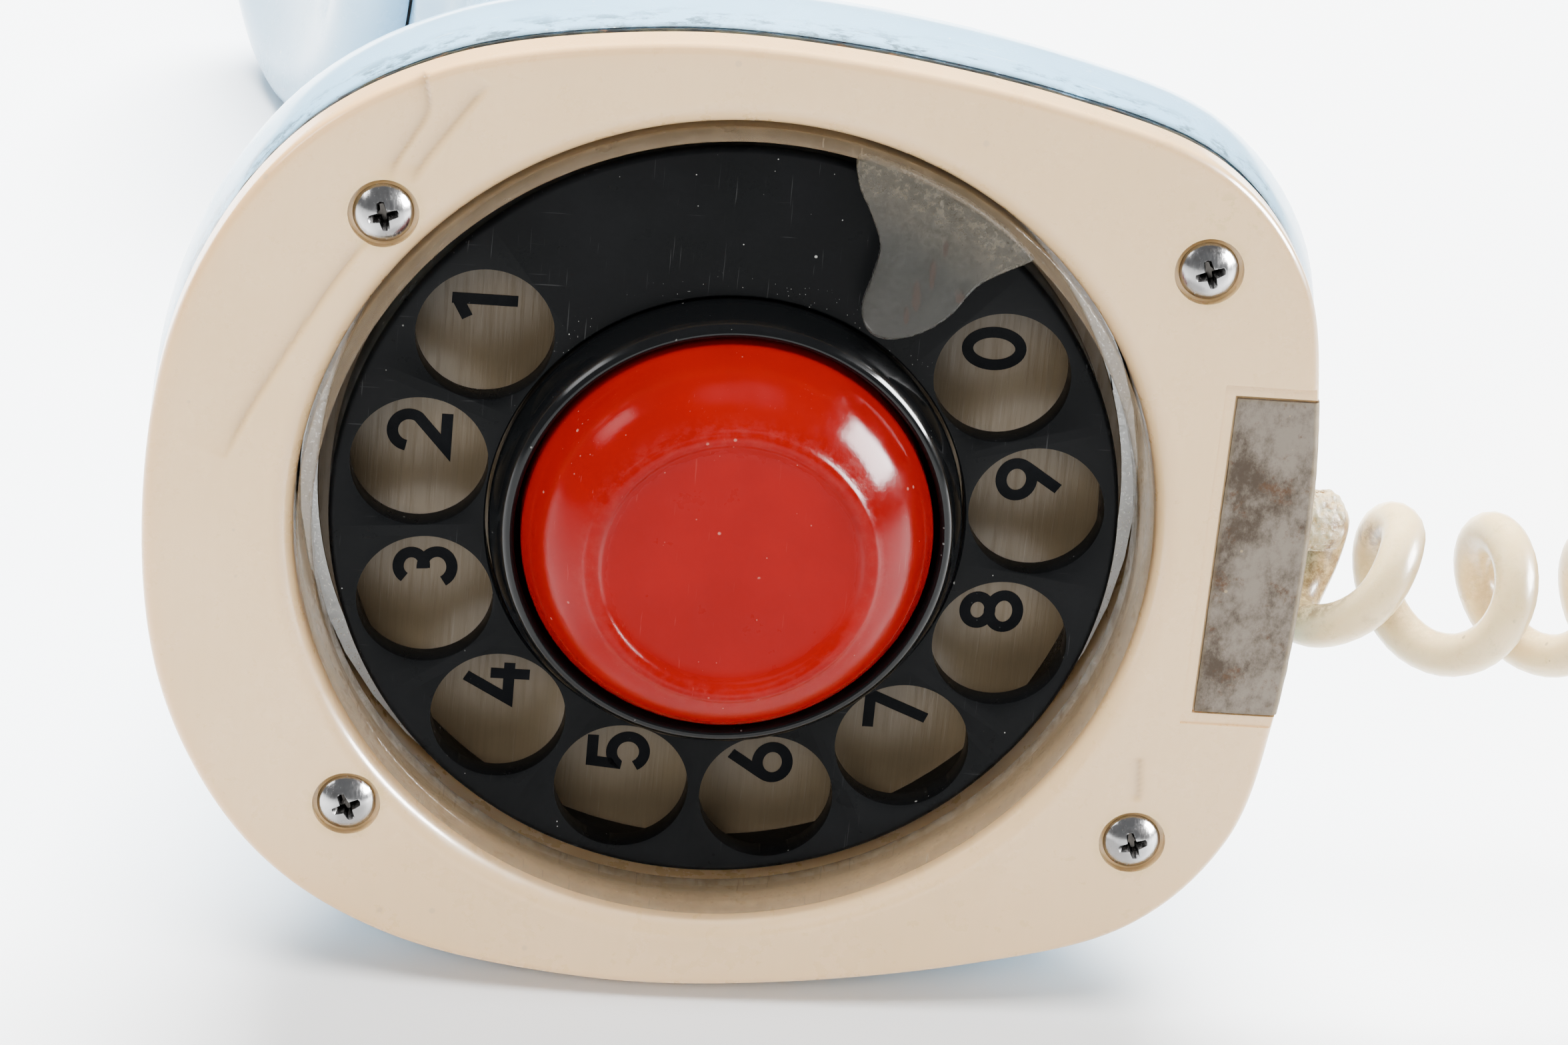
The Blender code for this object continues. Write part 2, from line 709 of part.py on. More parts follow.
def pinion():
    """The intermediate shaft's pinion, its spindle and its larger gear, as one piece."""
    start = math.radians(PINION_ANGLE) + math.pi + math.pi / PINION_TEETH
    span = (GEAR_Z[0], GEAR_Z[1] - 0.1)
    gear = spur_gear("intermediate_pinion", PINION_TEETH, MODULE, BACKLASH, span, start)
    place(gear, "brass")
    spindle = rod("intermediate_spindle", SPINDLE_R, (0, 0, CHASSIS_Z[1] + GAP), (0, 0, GEAR_Z[0] + 0.9))
    shape_with(gear, spindle, "UNION")
    mesh_at = math.radians(GOVERNOR_SIDE)
    second = spur_gear("second_gear", SECOND_TEETH, SMALL_MODULE, SMALL_BACKLASH, SECOND_Z, mesh_at)
    shape_with(gear, second, "UNION")
    for piece in (gear, spindle, second):
        piece.location.x = PINION_X * MM
        piece.location.y = PINION_Y * MM
    return gear


def impulse_cam():
    """A three-lobed cam on the intermediate spindle that opens the impulse contacts."""
    outline = []
    for i in range(36):
        angle = 2 * math.pi * i / 36
        r = 3.4 + 0.8 * math.cos(3 * angle)
        outline.append((r * math.cos(angle), r * math.sin(angle)))
    cam = extruded("impulse_cam", outline, *CAM_Z)
    cam.location.x = PINION_X * MM
    cam.location.y = PINION_Y * MM
    place(cam, "grey")
    bore = rod("cam_bore", SPINDLE_R + GAP, (PINION_X, PINION_Y, -22), (PINION_X, PINION_Y, -15))
    return shape_with(cam, bore)


def governor():
    """The governor: a small pinion, its shaft and the drum that carries the weights."""
    start = math.radians(GOVERNOR_SIDE) + math.pi + math.pi / GOVERNOR_TEETH
    gear = spur_gear("governor", GOVERNOR_TEETH, SMALL_MODULE, SMALL_BACKLASH, SECOND_Z, start)
    place(gear, "brass")
    shaft = rod("governor_shaft", 0.8, (0, 0, CHASSIS_Z[1] + GAP), (0, 0, SECOND_Z[0] + 0.6))
    drum = turned("governor_drum", disc_profile(3.6, -21.2, -17.2, 0.4), 20)
    for piece in (gear, shaft, drum):
        piece.location.x = GOVERNOR_X * MM
        piece.location.y = GOVERNOR_Y * MM
    shape_with(gear, shaft, "UNION")
    shape_with(gear, drum, "UNION")
    return gear


def dial_frame():
    """The steel plate that the dial is built on, with countersunk holes for its screws."""
    frame = turned("dial_frame", ring_profile(HUB_R + 0.6, WELL_R - GAP, *FRAME_Z), 48)
    place(frame, "steel")
    for i, angle in enumerate(DIAL_SCREWS):
        x, y = polar(DIAL_SCREW_R, angle)
        shape_with(frame, rod(f"frame_seat_{i}", 2.9, (x, y, FRAME_Z[1] - 1.1), (x, y, -6)))
        shape_with(frame, rod(f"frame_bore_{i}", 1.5, (x, y, -14), (x, y, -6)))
    return frame


def dial_screw(index, angle):
    x, y = polar(DIAL_SCREW_R, angle)
    top = FRAME_Z[1] - 0.05
    profile = [(0, top), (2.6, top), (2.6, top - 0.7), (1.2, top - 0.7), (1.2, -19), (0, -19)]
    screw = turned(f"dial_screw_{index}", profile, 16)
    screw.location = Vector((x, y, 0)) * MM
    return place(screw, "steel")


def return_spring_drum():
    profile = ring_profile(HUB_R + 0.8, HUB_R + 3.2, CHASSIS_Z[1] + GAP, GEAR_Z[0] - 0.8)
    return place(turned("return_spring_drum", profile, 40), "steel")


def contact_block():
    """The block that holds the impulse contacts, beside the cam."""
    angle = PINION_ANGLE + CONTACT_SIDE
    x, y = polar(CONTACT_R, angle)
    block = box("impulse_contact_block", CONTACT_SIZE, (x, y, CONTACT_Z), 0.3)
    block.rotation_euler.z = math.radians(angle)
    return place(block, "board")


# ---------------------------------------------------------------- hook button


def hook_button():
    """A red cap with a curved flank, a rounded crest and a sunk centre, hollow from behind."""
    flank = []
    for i in range(5):
        t = i / 4
        bulge = 0.55 * math.sin(math.pi * t)
        r = BUTTON_R - 0.2 + (CREST_R + 0.7 - BUTTON_R + 0.2) * t + bulge
        z = BUTTON_EDGE_Z + (CREST_Z - 0.4 - BUTTON_EDGE_Z) * t + bulge
        flank.append((r, z))
    outer = [(0, 10.45), (11.6, 10.45), (12.1, 10.75), (12.6, 11.1), (CREST_R, CREST_Z)]
    outer += flank[::-1] + [(BUTTON_R, BUTTON_EDGE_Z - 0.9), (BUTTON_R, -7.5)]
    inner = [(BUTTON_R - 1.8, -7.5), (BUTTON_R - 1.8, 3.0), (12.6, 8.2), (STEM_R + 2.0, 8.2), (STEM_R, 6.5)]
    for i in range(4):
        turn = math.pi / 8 * i
        inner.append((STEM_R * math.cos(turn), STEM_END_Z + STEM_R * (1 - math.sin(turn))))
    inner.append((0, STEM_END_Z))
    return place(turned("hook_button", outer + inner, 36), "red")


def button_spring():
    """The compression spring around the button's stem."""
    turns, per_turn = 5, 8
    low, high = CHASSIS_Z[1] + 0.9, 7.3
    points = []
    for i in range(turns * per_turn + 1):
        angle = 2 * math.pi * i / per_turn
        z = low + (high - low) * i / (turns * per_turn)
        points.append((7.4 * math.cos(angle), 7.4 * math.sin(angle), z))
    return tube("button_spring", points, 0.55, "steel", 1)


def hook_lever():
    """The lever under the stem, with an eye for its pin. It is drawn about the pin's axis."""
    x, z = LEVER_PIVOT
    pivot = bpy.data.objects.new("lever_pivot", None)
    PARTS.objects.link(pivot)
    pivot.parent = ROOT
    pivot.location = Vector((x, 0.0, z)) * MM
    arm = box("hook_lever", LEVER_SIZE, (LEVER_SIZE[0] / 2 - 1.0, 0.0, 0.0), 0.2, 1)
    place(arm, "steel", pivot)
    shape_with(arm, rod("lever_eye", 2.6, (0.0, -4.0, 0.0), (0.0, 4.0, 0.0)), "UNION")
    pad = rod("lever_pad", 3.4, (-x, 0.0, 0.0), (-x, 0.0, STEM_END_Z - GAP - z))
    shape_with(arm, pad, "UNION")
    shape_with(arm, rod("lever_bore", PIN_R + GAP, (0.0, -9.0, 0.0), (0.0, 9.0, 0.0)))
    return arm


def lever_pin():
    x, z = LEVER_PIVOT
    pin = rod("hook_lever_pin", PIN_R, (x, -8.2, z), (x, 8.2, z))
    return place(pin, "steel")


# ---------------------------------------------------------------- chassis and electrics


def chassis_frame():
    """The moulded frame in the foot of the body: its floor, screw posts and lever ears."""
    count = 48
    outline = [(x, y) for x, y, _ in outline_ring(9.5, 0.0, count)]
    floor = extruded("chassis_frame", outline, *CHASSIS_Z)
    place(floor, "grey")
    shape_with(floor, box("mic_bay", (24.0, 37.0, 8.0), (-45.5, 0.0, CHASSIS_Z[0])))
    for i, angle in enumerate(DIAL_SCREWS):
        x, y = polar(DIAL_SCREW_R, angle)
        top = FRAME_Z[0] - GAP
        post = rod(f"dial_post_{i}", 3.4, (x, y, CHASSIS_Z[0] + 0.6), (x, y, top))
        shape_with(floor, post, "UNION")
    for i, angle in enumerate(DIAL_SCREWS):
        x, y = polar(DIAL_SCREW_R, angle)
        shape_with(floor, rod(f"dial_pilot_{i}", 1.2 + GAP, (x, y, -20), (x, y, -8)))
    pivot_x, pivot_z = LEVER_PIVOT
    for i, side in enumerate((-1, 1)):
        ear = box(f"lever_ear_{i}", (6.0, 2.0, 11.0), (pivot_x, side * 6.4, pivot_z + 1.9))
        shape_with(floor, ear, "UNION")
    shape_with(floor, rod("pin_bore", PIN_R + GAP, (pivot_x, -12.0, pivot_z), (pivot_x, 12.0, pivot_z)))
    for i, (x, y) in enumerate(BOARD_POSTS):
        post = rod(f"board_post_{i}", 2.6, (x, y, BOARD_Z[1] + GAP), (x, y, CHASSIS_Z[1] - 0.5))
        shape_with(floor, post, "UNION")
    shape_with(floor, box("cord_notch", (14.0, 7.0, 8.0), (46.5, 0.0, CHASSIS_Z[0])))
    guide = rod("stem_guide", STEM_R + 0.35, (0, 0, -30), (0, 0, -18), 25)
    return shape_with(floor, guide)


def circuit_board():
    low, high = BOARD_Z
    board = box("circuit_board", (50.0, 46.0, high - low), (4.0, 0.0, (low + high) / 2))
    return place(board, "board")


def board_fittings():
    """What stands on the board's far side."""
    top = BOARD_Z[0] - GAP
    coil = box("induction_coil", (18.0, 15.0, 14.0), (5.0, 9.0, top - 7.0), 0.8)
    place(coil, "copper")
    core = box("coil_core", (24.0, 6.0, 3.0), (5.0, 9.0, top - 7.0))
    shape_with(coil, core, "UNION")
    first = box("capacitor_1", (20.0, 11.0, 12.0), (9.0, -10.0, top - 6.0), 1.0)
    place(first, "grey")
    second = rod("capacitor_2", 3.6, (-14.0, -12.0, top - 4.0), (-14.0, 4.0, top - 4.0))
    place(second, "steel")
    block = box("terminal_block", (8.0, 26.0, 6.0), (24.5, 0.0, top - 3.0), 0.4)
    place(block, "grey")
    for i in range(4):
        y = -9.0 + 6.0 * i
        profile = [(0, 1.2), (1.9, 0.8), (1.9, 0.0), (0, 0.0)]
        screw = turned(f"terminal_screw_{i + 1}", profile, 14)
        screw.location = Vector((24.5, y, top - 6.0 - GAP)) * MM
        screw.rotation_euler.x = math.pi
        place(screw, "brass")


# ---------------------------------------------------------------- ear and microphone


def ear_cap():
    """The ear's cap: a band, a rounded edge and a dished, perforated face."""
    outer = [(0, -1.6), (10.0, -1.2), (19.0, 0.4), (23.0, 1.3), (26.0, 1.2), (28.4, 0.0),
             (29.6, -2.0), (EAR_R, -4.0), (EAR_R, -CAP_DEPTH)]
    inner = [(EAR_R - 2.2, -CAP_DEPTH), (EAR_R - 2.2, -3.0), (25.0, -1.6), (19.0, -2.4),
             (10.0, -3.8), (0, -4.1)]
    cap = turned("ear_cap", outer + inner, 36)
    place(cap, "blue", EAR)
    for i in range(6):
        x, y = polar(6.0, 60 * i)
        hole = rod(f"ear_hole_{i}", 1.1, (x, y, -8), (x, y, 4), 10)
        shape_with(cap, hole)
    shape_with(cap, rod("ear_hole_middle", 1.1, (0, 0, -8), (0, 0, 4), 10))
    return cap


def receiver():
    capsule = turned("receiver_capsule", disc_profile(21.0, -20.0, -7.6, 1.0), 32)
    place(capsule, "steel", EAR)
    washer = turned("receiver_gasket", ring_profile(16.0, 21.5, -7.2, -4.6), 32)
    place(washer, "rubber", EAR)
    cup = turned("receiver_retainer", ring_profile(21.6, 24.4, -17.0, -7.6), 40)
    place(cup, "grey", EAR)


def microphone():
    capsule = turned("microphone_capsule", disc_profile(11.6, -7.0, 0.6, 0.8), 32)
    place(capsule, "steel", MIC)
    washer = turned("microphone_gasket", ring_profile(8.5, 11.6, 0.9, 2.3), 28)
    place(washer, "rubber", MIC)
    cup = turned("microphone_holder", ring_profile(12.0, 13.8, -6.0, 0.6), 32)
    place(cup, "grey", MIC)


def leads():
    """Inner leads: two up the neck to the receiver, one to the microphone."""
    for i, side in enumerate((-1, 1)):
        route = ((6.0, 4.0 * side, -58.0), (2.0, 5.0 * side, -75.0), (-3.0, 5.0 * side, -110.0),
                 (-6.0, 5.0 * side, -150.0), (-10.0, 5.0 * side, -178.0), (-19.0, 5.0 * side, -194.0),
                 (-25.0, 5.0 * side, -203.5))
        tube(f"receiver_lead_{i + 1}", smooth_route(route, 14), 0.7, "wire", 1)
    route = ((-31.5, 0.0, -29.0), (-29.0, 3.0, -33.0), (-26.0, 6.5, -37.0), (-22.7, 10.0, -40.8))
    tube("microphone_lead", smooth_route(route, 4), 0.7, "wire", 1)


# ---------------------------------------------------------------- cord


def strain_relief():
    """The cord's thickened end where it passes through the case, with an inner collar."""
    profile = [(0, STUB_X[1]), (STUB_R - 0.5, STUB_X[1]), (STUB_R, STUB_X[1] - 0.7),
               (STUB_R, 52.2), (STUB_R + 2.2, 52.2), (STUB_R + 2.2, STUB_X[0] + 0.4),
               (STUB_R, STUB_X[0]), (0, STUB_X[0])]
    stub = turned("strain_relief", profile, 24)
    stub.rotation_euler.y = math.pi / 2
    stub.location.z = CORD_Z * MM
    return place(stub, "stub")


def from_exit(offset):
    """A place in the room, in mm, from its offset to where the coil starts."""
    start = Vector((STUB_X[1] + GAP, COIL_DROP, CORD_Z))
    turn = ROOT.rotation_euler.to_matrix()
    return Vector(ROOT_PLACE) + turn @ start + Vector(offset)


def cord():
    """The free cord: the coil's outer shape, the straight tail and the plug."""
    coil = [from_exit(p) for p in COIL_ROUTE]
    tail = [from_exit(p) for p in TAIL_ROUTE]
    tube("cord_coil", smooth_route(coil, 9.0), COIL_R, "cord", 3, None)
    tube("cord_tail", smooth_route(tail, 5.0), CORD_R, "cord", 2, None)
    x, y, z = from_exit(PLUG_BACK)
    body = box("plug_body", PLUG_SIZE, (x, y - PLUG_SIZE[1] / 2, z), 2.2)
    place(body, "cord", None)
    for i, (dx, dz) in enumerate(((-4.5, -4.5), (4.5, -4.5), (-4.5, 4.5), (4.5, 4.5))):
        front = y - PLUG_SIZE[1] - GAP
        pin = rod(f"plug_pin_{i + 1}", 1.9, (x + dx, front, z + dz), (x + dx, front - 11.0, z + dz), 12)
        place(pin, "brass", None)


def inner_cord():
    route = ((STUB_X[0] - GAP, 0.0, CORD_Z), (47.8, 0.0, CORD_Z - 0.1), (45.9, 0.0, CORD_Z - 3.0),
             (45.2, 0.0, CORD_Z - 8.0), (44.2, 0.0, CORD_Z - 16.0), (40.0, 0.0, CORD_Z - 27.0),
             (34.5, 0.0, CORD_Z - 33.5),
             (31.0, 0.0, BOARD_Z[0] - 3.4))
    tube("inner_cord", smooth_route(route, 4.0), CORD_R, "cord", 2)


def build():
    case_shell()
    base_plate()
    steel_plate()
    gasket()
    for i, (x, y) in enumerate(SCREW_PLACES):
        base_screw(i + 1, x, y)
    finger_wheel()
    hub_ring()
    number_plate()
    dial_bezel()
    main_gear()
    pinion()
    impulse_cam()
    governor()
    dial_frame()
    for i, angle in enumerate(DIAL_SCREWS):
        dial_screw(i + 1, angle)
    return_spring_drum()
    contact_block()
    hook_button()
    button_spring()
    hook_lever()
    lever_pin()
    chassis_frame()
    circuit_board()
    board_fittings()
    ear_cap()
    receiver()
    microphone()
    leads()
    strain_relief()
    inner_cord()
    cord()
    bpy.context.view_layer.update()


build()
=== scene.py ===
"""Upright one-piece telephone lying on its side, its base and dial towards the viewer.

Shapes are made in the phone's own frame, in millimetres: +X points to its back, +Y to the side
that lies uppermost and +Z out of the base. The finger wheel's face is at z = 0.
"""

import json
import math

import bpy
import numpy as np
from mathutils import Matrix, Vector, noise


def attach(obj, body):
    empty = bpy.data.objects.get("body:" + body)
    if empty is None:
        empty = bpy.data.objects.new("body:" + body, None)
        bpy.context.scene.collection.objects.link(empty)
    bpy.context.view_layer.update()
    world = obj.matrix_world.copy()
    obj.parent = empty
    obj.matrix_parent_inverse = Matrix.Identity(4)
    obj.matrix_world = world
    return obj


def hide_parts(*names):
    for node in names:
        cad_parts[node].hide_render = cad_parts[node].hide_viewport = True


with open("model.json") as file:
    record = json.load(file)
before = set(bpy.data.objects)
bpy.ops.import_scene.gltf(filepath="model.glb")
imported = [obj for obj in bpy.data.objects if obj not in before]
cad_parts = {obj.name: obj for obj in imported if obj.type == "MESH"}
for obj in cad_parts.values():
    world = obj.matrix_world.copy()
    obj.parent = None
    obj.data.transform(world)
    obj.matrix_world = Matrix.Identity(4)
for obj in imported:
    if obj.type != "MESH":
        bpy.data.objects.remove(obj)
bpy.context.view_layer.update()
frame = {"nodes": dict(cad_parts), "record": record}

MM = 0.001
LEAN = 5.592
ROOT_PLACE = (-0.095, -108.249, 49.424)
ROOT = Matrix.Translation(Vector(ROOT_PLACE) * MM) @ Matrix.Rotation(math.radians(90 - LEAN), 4, "X")

# Base and dial, as the CAD has them.
BASE_Z = 4.0
WELL_R = 40.6
WELL_DEPTH = -10.7
RIM_R = 0.85
LIP_R = 2.4
SCREW_PLACES = ((-34.0, 30.0), (42.0, 29.6), (-34.0, -30.0), (42.0, -29.6))
SCREW_HEAD_R = 2.8
STEEL_X = 46.3
STEEL_HALF = 16.2
STEEL_Y = 1.0
FOLD_R = 0.7
CASE_START = 5.7
WHEEL_R = 37.4
HOLE_R = 6.48
HOLE_PITCH_R = 29.5
FIRST_HOLE = 144.1
HOLE_STEP = 27.7
HUB_R = 22.4
NUMBER_PLATE_Z = -7.6
# Brown stains on the finger stop: place, half width and half length.
STOP_STAINS = ((16.6, 27.3, 0.35, 1.9), (15.3, 25.0, 0.5, 2.0), (17.5, 29.8, 0.3, 1.3),
               (19.3, 25.2, 0.5, 0.7), (14.6, 23.0, 0.3, 1.3))
CORD_R = 2.15
CRUSTED_LENGTH = 44.0
CORD_Z = -9.0
COIL_DROP = -5.8
STUB_END = 57.0


# ---------------------------------------------------------------- materials


class Paint:
    """Builds one procedural material. Places and scales are in mm."""

    def __init__(self, name, color, rough, **sockets):
        self.mat = bpy.data.materials.new(name)
        self.mat.use_nodes = True
        self.tree = self.mat.node_tree
        self.shader = self.tree.nodes["Principled BSDF"]
        self.shade = color
        self.put("Base Color", (*color, 1.0))
        self.put("Roughness", rough)
        for key, value in sockets.items():
            self.put(key.replace("_", " "), value)
        coords = self.node("ShaderNodeTexCoord")
        scale = self.node("ShaderNodeMapping")
        scale.inputs["Scale"].default_value = (1000, 1000, 1000)
        self.join(coords.outputs["Object"], scale.inputs["Vector"])
        self.at = scale.outputs["Vector"]

    def put(self, socket, value):
        """Sets a shader socket to a constant, or links a node's output to it."""
        self.feed(self.shader.inputs[socket], value)

    def node(self, kind, **settings):
        made = self.tree.nodes.new(kind)
        for key, value in settings.items():
            setattr(made, key, value)
        return made

    def join(self, source, target):
        self.tree.links.new(source, target)

    def feed(self, target, value):
        if isinstance(value, bpy.types.NodeSocket):
            self.join(value, target)
        else:
            target.default_value = value

    def math(self, operation, a, b=0.0, clamp=False):
        made = self.node("ShaderNodeMath", operation=operation, use_clamp=clamp)
        self.feed(made.inputs[0], a)
        self.feed(made.inputs[1], b)
        return made.outputs[0]

    def times(self, a, b):
        return self.math("MULTIPLY", a, b)

    def plus(self, a, b):
        return self.math("ADD", a, b)

    def most(self, a, b):
        return self.math("MAXIMUM", a, b)

    def texture(self, kind, scale, shift, **values):
        """A texture node of a kind, at a scale per mm and a shift."""
        move = self.node("ShaderNodeMapping")
        move.inputs["Scale"].default_value = scale
        move.inputs["Location"].default_value = shift
        self.join(self.at, move.inputs["Vector"])
        made = self.node(kind)
        made.inputs["Scale"].default_value = 1.0
        for key, value in values.items():
            made.inputs[key].default_value = value
        self.join(move.outputs[0], made.inputs["Vector"])
        return made

    def noise(self, size, detail=3.0, rough=0.5, stretch=(1, 1, 1), shift=(0, 0, 0), warp=0.0):
        """Noise whose features are about size mm across, longer along the larger stretches."""
        scale = [1 / (size * s) for s in stretch]
        return self.texture("ShaderNodeTexNoise", scale, shift,
                            Detail=detail, Roughness=rough, Distortion=warp).outputs["Fac"]

    def cells(self, size, shift=(0, 0, 0)):
        return self.texture("ShaderNodeTexVoronoi", [1 / size] * 3, shift).outputs["Distance"]

    def span(self, value, low, high, out_low=0.0, out_high=1.0):
        """Maps low..high to out_low..out_high, smoothly and clamped."""
        made = self.node("ShaderNodeMapRange", interpolation_type="SMOOTHSTEP")
        self.feed(made.inputs["Value"], value)
        made.inputs["From Min"].default_value = low
        made.inputs["From Max"].default_value = high
        made.inputs["To Min"].default_value = out_low
        made.inputs["To Max"].default_value = out_high
        return made.outputs["Result"]

    def mix(self, share, a, b):
        made = self.node("ShaderNodeMix", data_type="RGBA")
        self.feed(made.inputs[0], share)
        for socket, value in ((made.inputs[6], a), (made.inputs[7], b)):
            self.feed(socket, value if isinstance(value, bpy.types.NodeSocket) else (*value, 1.0))
        return made.outputs[2]

    def patch(self, size, detail=3.0, rough=0.5, low=0.3, high=0.7, stretch=(1, 1, 1), shift=(0, 0, 0),
              out=(0.0, 1.0)):
        """Noise, spread from low..high to out."""
        return self.span(self.noise(size, detail, rough, stretch, shift), low, high, *out)

    def blend(self, share, a, b):
        """Makes the surface colour from two."""
        self.shade = self.mix(share, a, b)
        self.put("Base Color", self.shade)

    def tint(self, mask, share, color):
        """Lays a colour over the surface where the mask is 1, as strong as share."""
        self.blend(self.times(mask, share), self.shade, color)

    def gloss(self, size, detail, rough, low, high):
        """Uneven roughness from low to high."""
        self.put("Roughness", self.patch(size, detail, rough, 0.3, 0.75, out=(low, high)))

    def bump(self, height, depth, previous=None):
        """A bump of depth mm. It can build on an earlier one."""
        made = self.node("ShaderNodeBump")
        made.inputs["Strength"].default_value = 1.0
        made.inputs["Distance"].default_value = depth * MM
        self.feed(made.inputs["Height"], height)
        if previous is not None:
            self.join(previous, made.inputs["Normal"])
        self.join(made.outputs[0], self.shader.inputs["Normal"])
        return made.outputs[0]

    def distance(self, place, flatten=(1, 1, 1)):
        """Distance in mm from a place, with some axes left out by flatten."""
        less = self.node("ShaderNodeVectorMath", operation="SUBTRACT")
        self.join(self.at, less.inputs[0])
        less.inputs[1].default_value = place
        flat = self.node("ShaderNodeVectorMath", operation="MULTIPLY")
        self.join(less.outputs[0], flat.inputs[0])
        flat.inputs[1].default_value = flatten
        length = self.node("ShaderNodeVectorMath", operation="LENGTH")
        self.join(flat.outputs[0], length.inputs[0])
        return length.outputs["Value"]

    def axis(self, name):
        split = self.node("ShaderNodeSeparateXYZ")
        self.join(self.at, split.inputs[0])
        return split.outputs[name]

    def attribute(self, name):
        return self.node("ShaderNodeAttribute", attribute_name=name).outputs["Fac"]

    def facing(self, blend):
        edge = self.node("ShaderNodeLayerWeight")
        edge.inputs["Blend"].default_value = blend
        return edge.outputs["Facing"]

    def from_axis(self):
        """Distance in mm from the dial's axis."""
        return self.distance((0, 0, 0), (1, 1, 0))

    def specks(self, size, amount, shift=(0, 0, 0)):
        """Small round specks: 1 inside them."""
        near = self.cells(size, shift)
        pick = self.noise(size * 3.1, 2.0, shift=(shift[0] + 5, shift[1], 3))
        return self.times(self.span(near, 0.10, 0.05), self.span(pick, 1 - amount, 1.02 - amount))

    def dots(self, size, amount, other_size, other_amount, shift=(7, 2, 4)):
        """Specks of two sizes."""
        return self.most(self.specks(size, amount), self.specks(other_size, other_amount, shift))

    def scratches(self, size, stretch, low, high, shift=(0, 0, 0)):
        return self.span(self.noise(size, 2.0, 0.4, stretch, shift, 0.3), low, high)


def hard_plastic(name, color, rough, blotch=0.06, dust=0.0, coat=0.3, fine=0.02):
    """Moulded plastic: faint blotches, uneven gloss, a fine surface and a little dust."""
    paint = Paint(name, color, rough, Coat_Weight=coat, Coat_Roughness=0.08)
    dark = tuple(c * (1 - blotch * 2) for c in color)
    light = tuple(min(1.0, c * (1 + blotch)) for c in color)
    paint.blend(paint.patch(18.0, 4.0), dark, light)
    if dust:
        paint.tint(paint.dots(0.9, 0.42, 2.1, 0.4), dust, (0.75, 0.75, 0.72))
    paint.gloss(5.0, 5.0, 0.6, rough * 0.8, rough * 1.35)
    paint.bump(paint.noise(0.7, 2.0), fine)
    return paint


def metal(name, color, rough, grain=(1, 1, 1), tarnish=(0.3, 0.25, 0.2), share=0.35):
    paint = Paint(name, color, rough, Metallic=1.0)
    paint.tint(paint.patch(2.6, 5.0, 0.65, 0.5, 0.78), share, tarnish)
    fine = paint.noise(0.25, 3.0, 0.6, grain)
    paint.put("Roughness", paint.span(fine, 0.25, 0.8, rough * 0.7, rough * 1.5))
    paint.bump(fine, 0.01)
    return paint


def chrome_paint():
    """The screws' plating, with painted shade that makes the cross recess black."""
    paint = metal("screw_plating", (0.34, 0.335, 0.335), 0.2, (1, 6, 1), (0.12, 0.10, 0.085), 0.5)
    paint.tint(paint.attribute("pit"), 0.93, (0.03, 0.026, 0.022))
    return paint


def cream_paint():
    paint = Paint("cream_plate", (0.66, 0.445, 0.225), 0.3, Coat_Weight=0.55, Coat_Roughness=0.12,
                  Subsurface_Weight=0.12, Subsurface_Scale=0.002, Subsurface_Radius=(1.0, 0.6, 0.35))
    paint.blend(paint.patch(26.0, 4.0, 0.55, shift=(3, 1, 0)), (0.64, 0.43, 0.212), (0.68, 0.46, 0.238))
    paint.tint(paint.patch(1.0, stretch=(0.8, 9.0, 1.0)), 0.10, (0.56, 0.36, 0.17))
    paint.tint(paint.attribute("rim"), 0.85, (0.66, 0.38, 0.15))
    # Painted shade with some brown dirt along the creases, from the 'crack' attribute.
    paint.tint(paint.attribute("crack"), 0.8, (0.36, 0.23, 0.11))
    for x, y in SCREW_PLACES:
        near = paint.span(paint.distance((x, y, 0), (1, 1, 0)), 4.3, 3.3)
        grime = paint.patch(2.0, low=0.35, high=0.6, out=(0.35, 1))
        paint.tint(paint.times(near, grime), 0.6, (0.56, 0.38, 0.16))
    darker_mark = paint.span(paint.distance((44.0, 35.5, 4.0), (0.45, 1.0, 0.0)), 3.2, 0.8)
    paint.tint(paint.times(darker_mark, paint.patch(1.1, 4.0, 0.7, 0.52, 0.62)), 0.55, (0.45, 0.33, 0.12))
    paint.tint(paint.dots(2.3, 0.36, 4.1, 0.45, (3, 9, 1)), 0.5, (0.42, 0.30, 0.18))
    paint.gloss(3.0, 5.0, 0.65, 0.24, 0.42)
    first = paint.bump(paint.noise(14.0, 2.0), 0.10)
    paint.bump(paint.noise(0.8, 3.0, 0.6, (1, 3, 1)), 0.006, first)
    return paint


def wheel_paint():
    paint = Paint("black_wheel", (0.004, 0.0045, 0.0048), 0.3, Specular_IOR_Level=0.06)
    paint.blend(paint.patch(12.0, 5.0, 0.6, 0.35, 0.75), (0.002, 0.0022, 0.0024), (0.0042, 0.0045, 0.005))
    lines = paint.most(paint.scratches(0.22, (1, 34, 1), 0.70, 0.76),
                       paint.scratches(0.25, (30, 1, 1), 0.71, 0.77, (4, 1, 0)))
    paint.tint(lines, 0.22, (0.07, 0.07, 0.07))
    groove = paint.span(paint.from_axis(), HUB_R + 3.2, HUB_R + 0.4)
    upper = paint.span(paint.axis("Y"), 6.0, 22.0)
    grains = paint.times(paint.specks(0.45, 0.6, (1, 5, 2)), paint.times(groove, upper))
    paint.tint(paint.most(paint.dots(0.8, 0.37, 1.9, 0.42), grains), 0.8, (0.36, 0.36, 0.34))
    paint.gloss(6.0, 5.0, 0.6, 0.26, 0.42)
    paint.bump(paint.noise(0.5), 0.008)
    return paint


def hub_paint():
    paint = Paint("black_hub", (0.003, 0.0033, 0.0036), 0.12, Specular_IOR_Level=0.25)
    paint.tint(paint.dots(0.7, 0.40, 1.4, 0.44), 0.7, (0.16, 0.16, 0.15))
    paint.gloss(4.0, 5.0, 0.5, 0.09, 0.2)
    paint.bump(paint.noise(7.0, 2.0), 0.05)
    return paint


